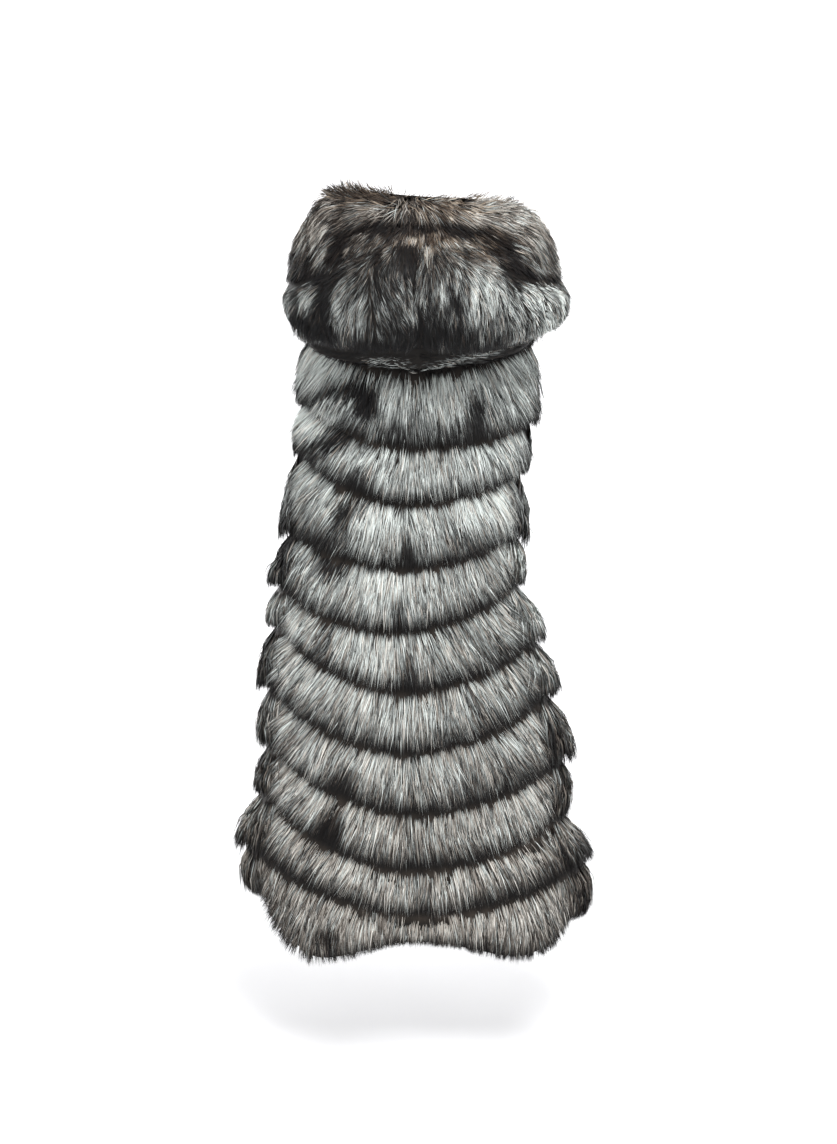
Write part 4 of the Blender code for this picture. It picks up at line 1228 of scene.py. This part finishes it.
# Each piece: name, lines, angles, hairs, length, lift, width, tone, curl, the line its hair
# stops at, how far its locks are drawn out across and down, and the height of the
# underfur at its four rows.
HOOD_PIECES = (
    ("hood_base", BASE_LINES, (-HOOD_FRONT, HOOD_FRONT), 8000, 0.020, 0.22, 0.0007, 0.0, 1.0,
     -3.0, (1.0, 1.0), (0.002, 0.005, 0.005, 0.003)),
    ("hood_crown_left", CROWN_LINES, (0.0, CROWN_LEFT), 10500, 0.054, 0.44, 0.0008, -0.30, 1.5,
     3.3, (1.0, 0.45), (0.004, 0.010, 0.010, 0.004)),
    ("hood_crown_right", CROWN_LINES, (CROWN_RIGHT, 0.0), 8500, 0.056, 0.42, 0.0008, -0.26, 1.1,
     3.3, (1.0, 0.45), (0.004, 0.010, 0.010, 0.004)),
    ("hood_side_left", CROWN_LINES, (CROWN_LEFT, HOOD_FRONT), 6500, 0.032, 0.10, 0.0011, -0.12,
     0.8, 3.3, (1.0, 0.6), (0.002, 0.003, 0.003, 0.002)),
    ("hood_side_right", CROWN_LINES, (-HOOD_FRONT, CROWN_RIGHT), 7500, 0.042, 0.34, 0.0011,
     -0.14, 0.8, 2.4, (1.0, 0.5), (0.003, 0.008, 0.008, 0.004)),
    ("hood_trim_left", TRIM_LINES, (0.0, HOOD_FRONT), 12000, 0.074, 0.46, 0.0010, -0.20, 1.0,
     5.85, (0.6, 1.0), (0.005, 0.006, 0.018, 0.012)),
    ("hood_trim_right", TRIM_LINES, (-HOOD_FRONT, 0.0), 12000, 0.072, 0.44, 0.0010, -0.12, 1.0,
     5.85, (0.6, 1.0), (0.005, 0.006, 0.018, 0.012)),
)
UNDERFUR_SHARES = (0.0, 0.3, 0.7, 1.0)
# The walls' underfur is dark in the tuck and the groove, painted shade in these hollows, and
# brown at the rim.
TRIM_BAND = (0.088, 0.070)
CROWN_BAND = (0.074, 0.088)
HOOD_GRID = (52, 10)
HOOD_SEED = 3000
# Up to this line the hood lies against the back and has underfur only.
HOOD_HIDDEN = 1.5
# How far each wall stays short of its seams, in lines and degrees.
HOOD_CLEAR = (0.003, 0.04)
for number, (name, lines, angles, count, length, lift, width, tone, curl, stop, grain,
             heights) in enumerate(HOOD_PIECES):
    draw = np.random.default_rng(HOOD_SEED + number)

    def height_at(line, lines=lines, heights=heights):
        share = (line - lines[0]) / (lines[1] - lines[0])
        return np.interp(share, UNDERFUR_SHARES, heights)

    def place_on(share, down, lines=lines, angles=angles):
        return (lines[0] + HOOD_CLEAR[0] + (lines[1] - lines[0] - 2 * HOOD_CLEAR[0]) * down,
                angles[0] + HOOD_CLEAR[1] + (angles[1] - angles[0] - 2 * HOOD_CLEAR[1]) * share)

    def outside(share, down, place_on=place_on, height_at=height_at):
        line, angle = place_on(share, down)
        return height_at(line) + lobe_puff(line, angle)

    wall = skin_wall(lambda *shares: hood_ground(*place_on(*shares)), *HOOD_GRID,
                     lambda share, down: share * 0.0, outside,
                     TRIM_BAND if lines == TRIM_LINES else CROWN_BAND)
    shown = (max(lines[0], HOOD_HIDDEN), lines[1])
    hairs = hood_hairs(draw, shown, angles, height_at, count, length, lift, width, tone, curl,
                       stop, grain)
    data = joined("fur_" + name, (wall, hairs), (fox_hair, fox_leather))
    add_piece("fur_" + name, data, name)


# Lining: black satin in three panels, sewn in along the edges of the back and the fronts
# and hanging a little free of the leather in soft upright creases.
LINING_WALL = 0.0015
LINING_GAP = 0.0006
LINING_END = 10.7
LINING_ROWS = 30
# Creases: share across, depth, half width, and the first and last share down.
BACK_CREASES = ((0.12, 0.005, 0.020, 0.25, 1.0), (0.27, 0.004, 0.014, 0.45, 1.0),
                (0.40, 0.006, 0.024, 0.15, 0.90), (0.55, 0.004, 0.016, 0.50, 1.0),
                (0.69, 0.006, 0.022, 0.20, 1.0), (0.86, 0.005, 0.018, 0.35, 0.95))
FRONT_CREASES = ((0.18, 0.005, 0.030, 0.35, 1.0), (0.44, 0.006, 0.036, 0.20, 0.95),
                 (0.72, 0.004, 0.026, 0.45, 1.0))
# They fade in and out over shares of the way down, and sway a little to the side.
CREASE_START, CREASE_STOP, CREASE_LEFT = 0.2, 0.08, 0.3
CREASE_SWAY, SWAY_PACE, SWAY_SHIFT = 0.015, 7.0, 20.0
# Each panel's columns of faces, its cut's width and length when laid flat, and its area.
BACK_LINING_COLUMNS, BACK_CUT, BACK_CUT_AREA = 56, (0.66, 1.22), 0.57
FRONT_LINING_COLUMNS, FRONT_CUT, FRONT_CUT_AREA = 36, (0.48, 1.16), 0.35
SATIN_BLACK = (0.008, 0.008, 0.009, 1.0)
SATIN_WORN = (0.016, 0.016, 0.018, 1.0)
SATIN_CLOUDS, CLOUD_EDGES = 9.0, (0.3, 0.7)
TWILL_SCALE, TWILL_HEIGHT, TWILL_STRENGTH = 260.0, 0.0004, 0.15
SATIN_GLOSS, SATIN_DULLING = 0.26, 0.16


def satin_finish(name):
    """Black satin: a close twill, its gloss dulled in soft clouds."""
    finish, shader, start = new_finish(name)
    place = start.node("ShaderNodeTexCoord", {}, {}, 3)
    cloud = start.node("ShaderNodeTexNoise", {},
                       {"Vector": place, "Scale": SATIN_CLOUDS, "Detail": 4.0})
    twill = start.node("ShaderNodeTexWave", {"bands_direction": "DIAGONAL"},
                       {"Vector": place, "Scale": TWILL_SCALE, "Distortion": 1.0})
    cloud.step(*CLOUD_EDGES).mixed(SATIN_BLACK, SATIN_WORN).feed(shader["Base Color"])
    (SATIN_GLOSS + cloud * SATIN_DULLING).feed(shader["Roughness"])
    start.node("ShaderNodeBump", {}, {"Height": twill, "Strength": TWILL_STRENGTH,
                                      "Distance": TWILL_HEIGHT}).feed(shader["Normal"])
    return finish


satin = satin_finish("black_satin")


def add_lining(name, ground_at, ends, columns, creases):
    """One lining panel on its fur panel's own surface, a little inside it."""
    def shares_to_ground(share, down):
        low, high = ends
        return ground_at(SKIN_CLEAR + (LINING_END - SKIN_CLEAR) * down,
                         low + (high - low) * (SKIN_CLEAR + (1 - 2 * SKIN_CLEAR) * share))

    def inwards(share, down):
        depth = share * 0.0
        for place, deep, half, start, stop in creases:
            fade = (np.clip((down - start) / CREASE_START, 0, 1)
                    * np.clip((stop - down) / CREASE_STOP + CREASE_LEFT, 0, 1))
            sway = CREASE_SWAY * np.sin(down * SWAY_PACE + place * SWAY_SHIFT)
            depth += deep * fade * bell(share - place, sway, half)
        return -LINING_GAP - depth

    wall = skin_wall(shares_to_ground, columns, LINING_ROWS,
                     lambda share, down: inwards(share, down) - LINING_WALL, inwards)
    # Both its sides are satin, whose pattern needs no map.
    wall["slots"] = wall["slots"] * 0
    data = joined(name + "_satin", (wall,), (satin,))
    while len(data.uv_layers):
        data.uv_layers.remove(data.uv_layers[0])
    piece = add_piece(name + "_satin", data, name)


add_lining("back_lining", back_ground, (-1.0, 1.0), BACK_LINING_COLUMNS, BACK_CREASES)
for name, _ in FRONTS:
    add_lining(f"{name}_front_lining", front_grounds[name], (0.0, 1.0), FRONT_LINING_COLUMNS,
               FRONT_CREASES)
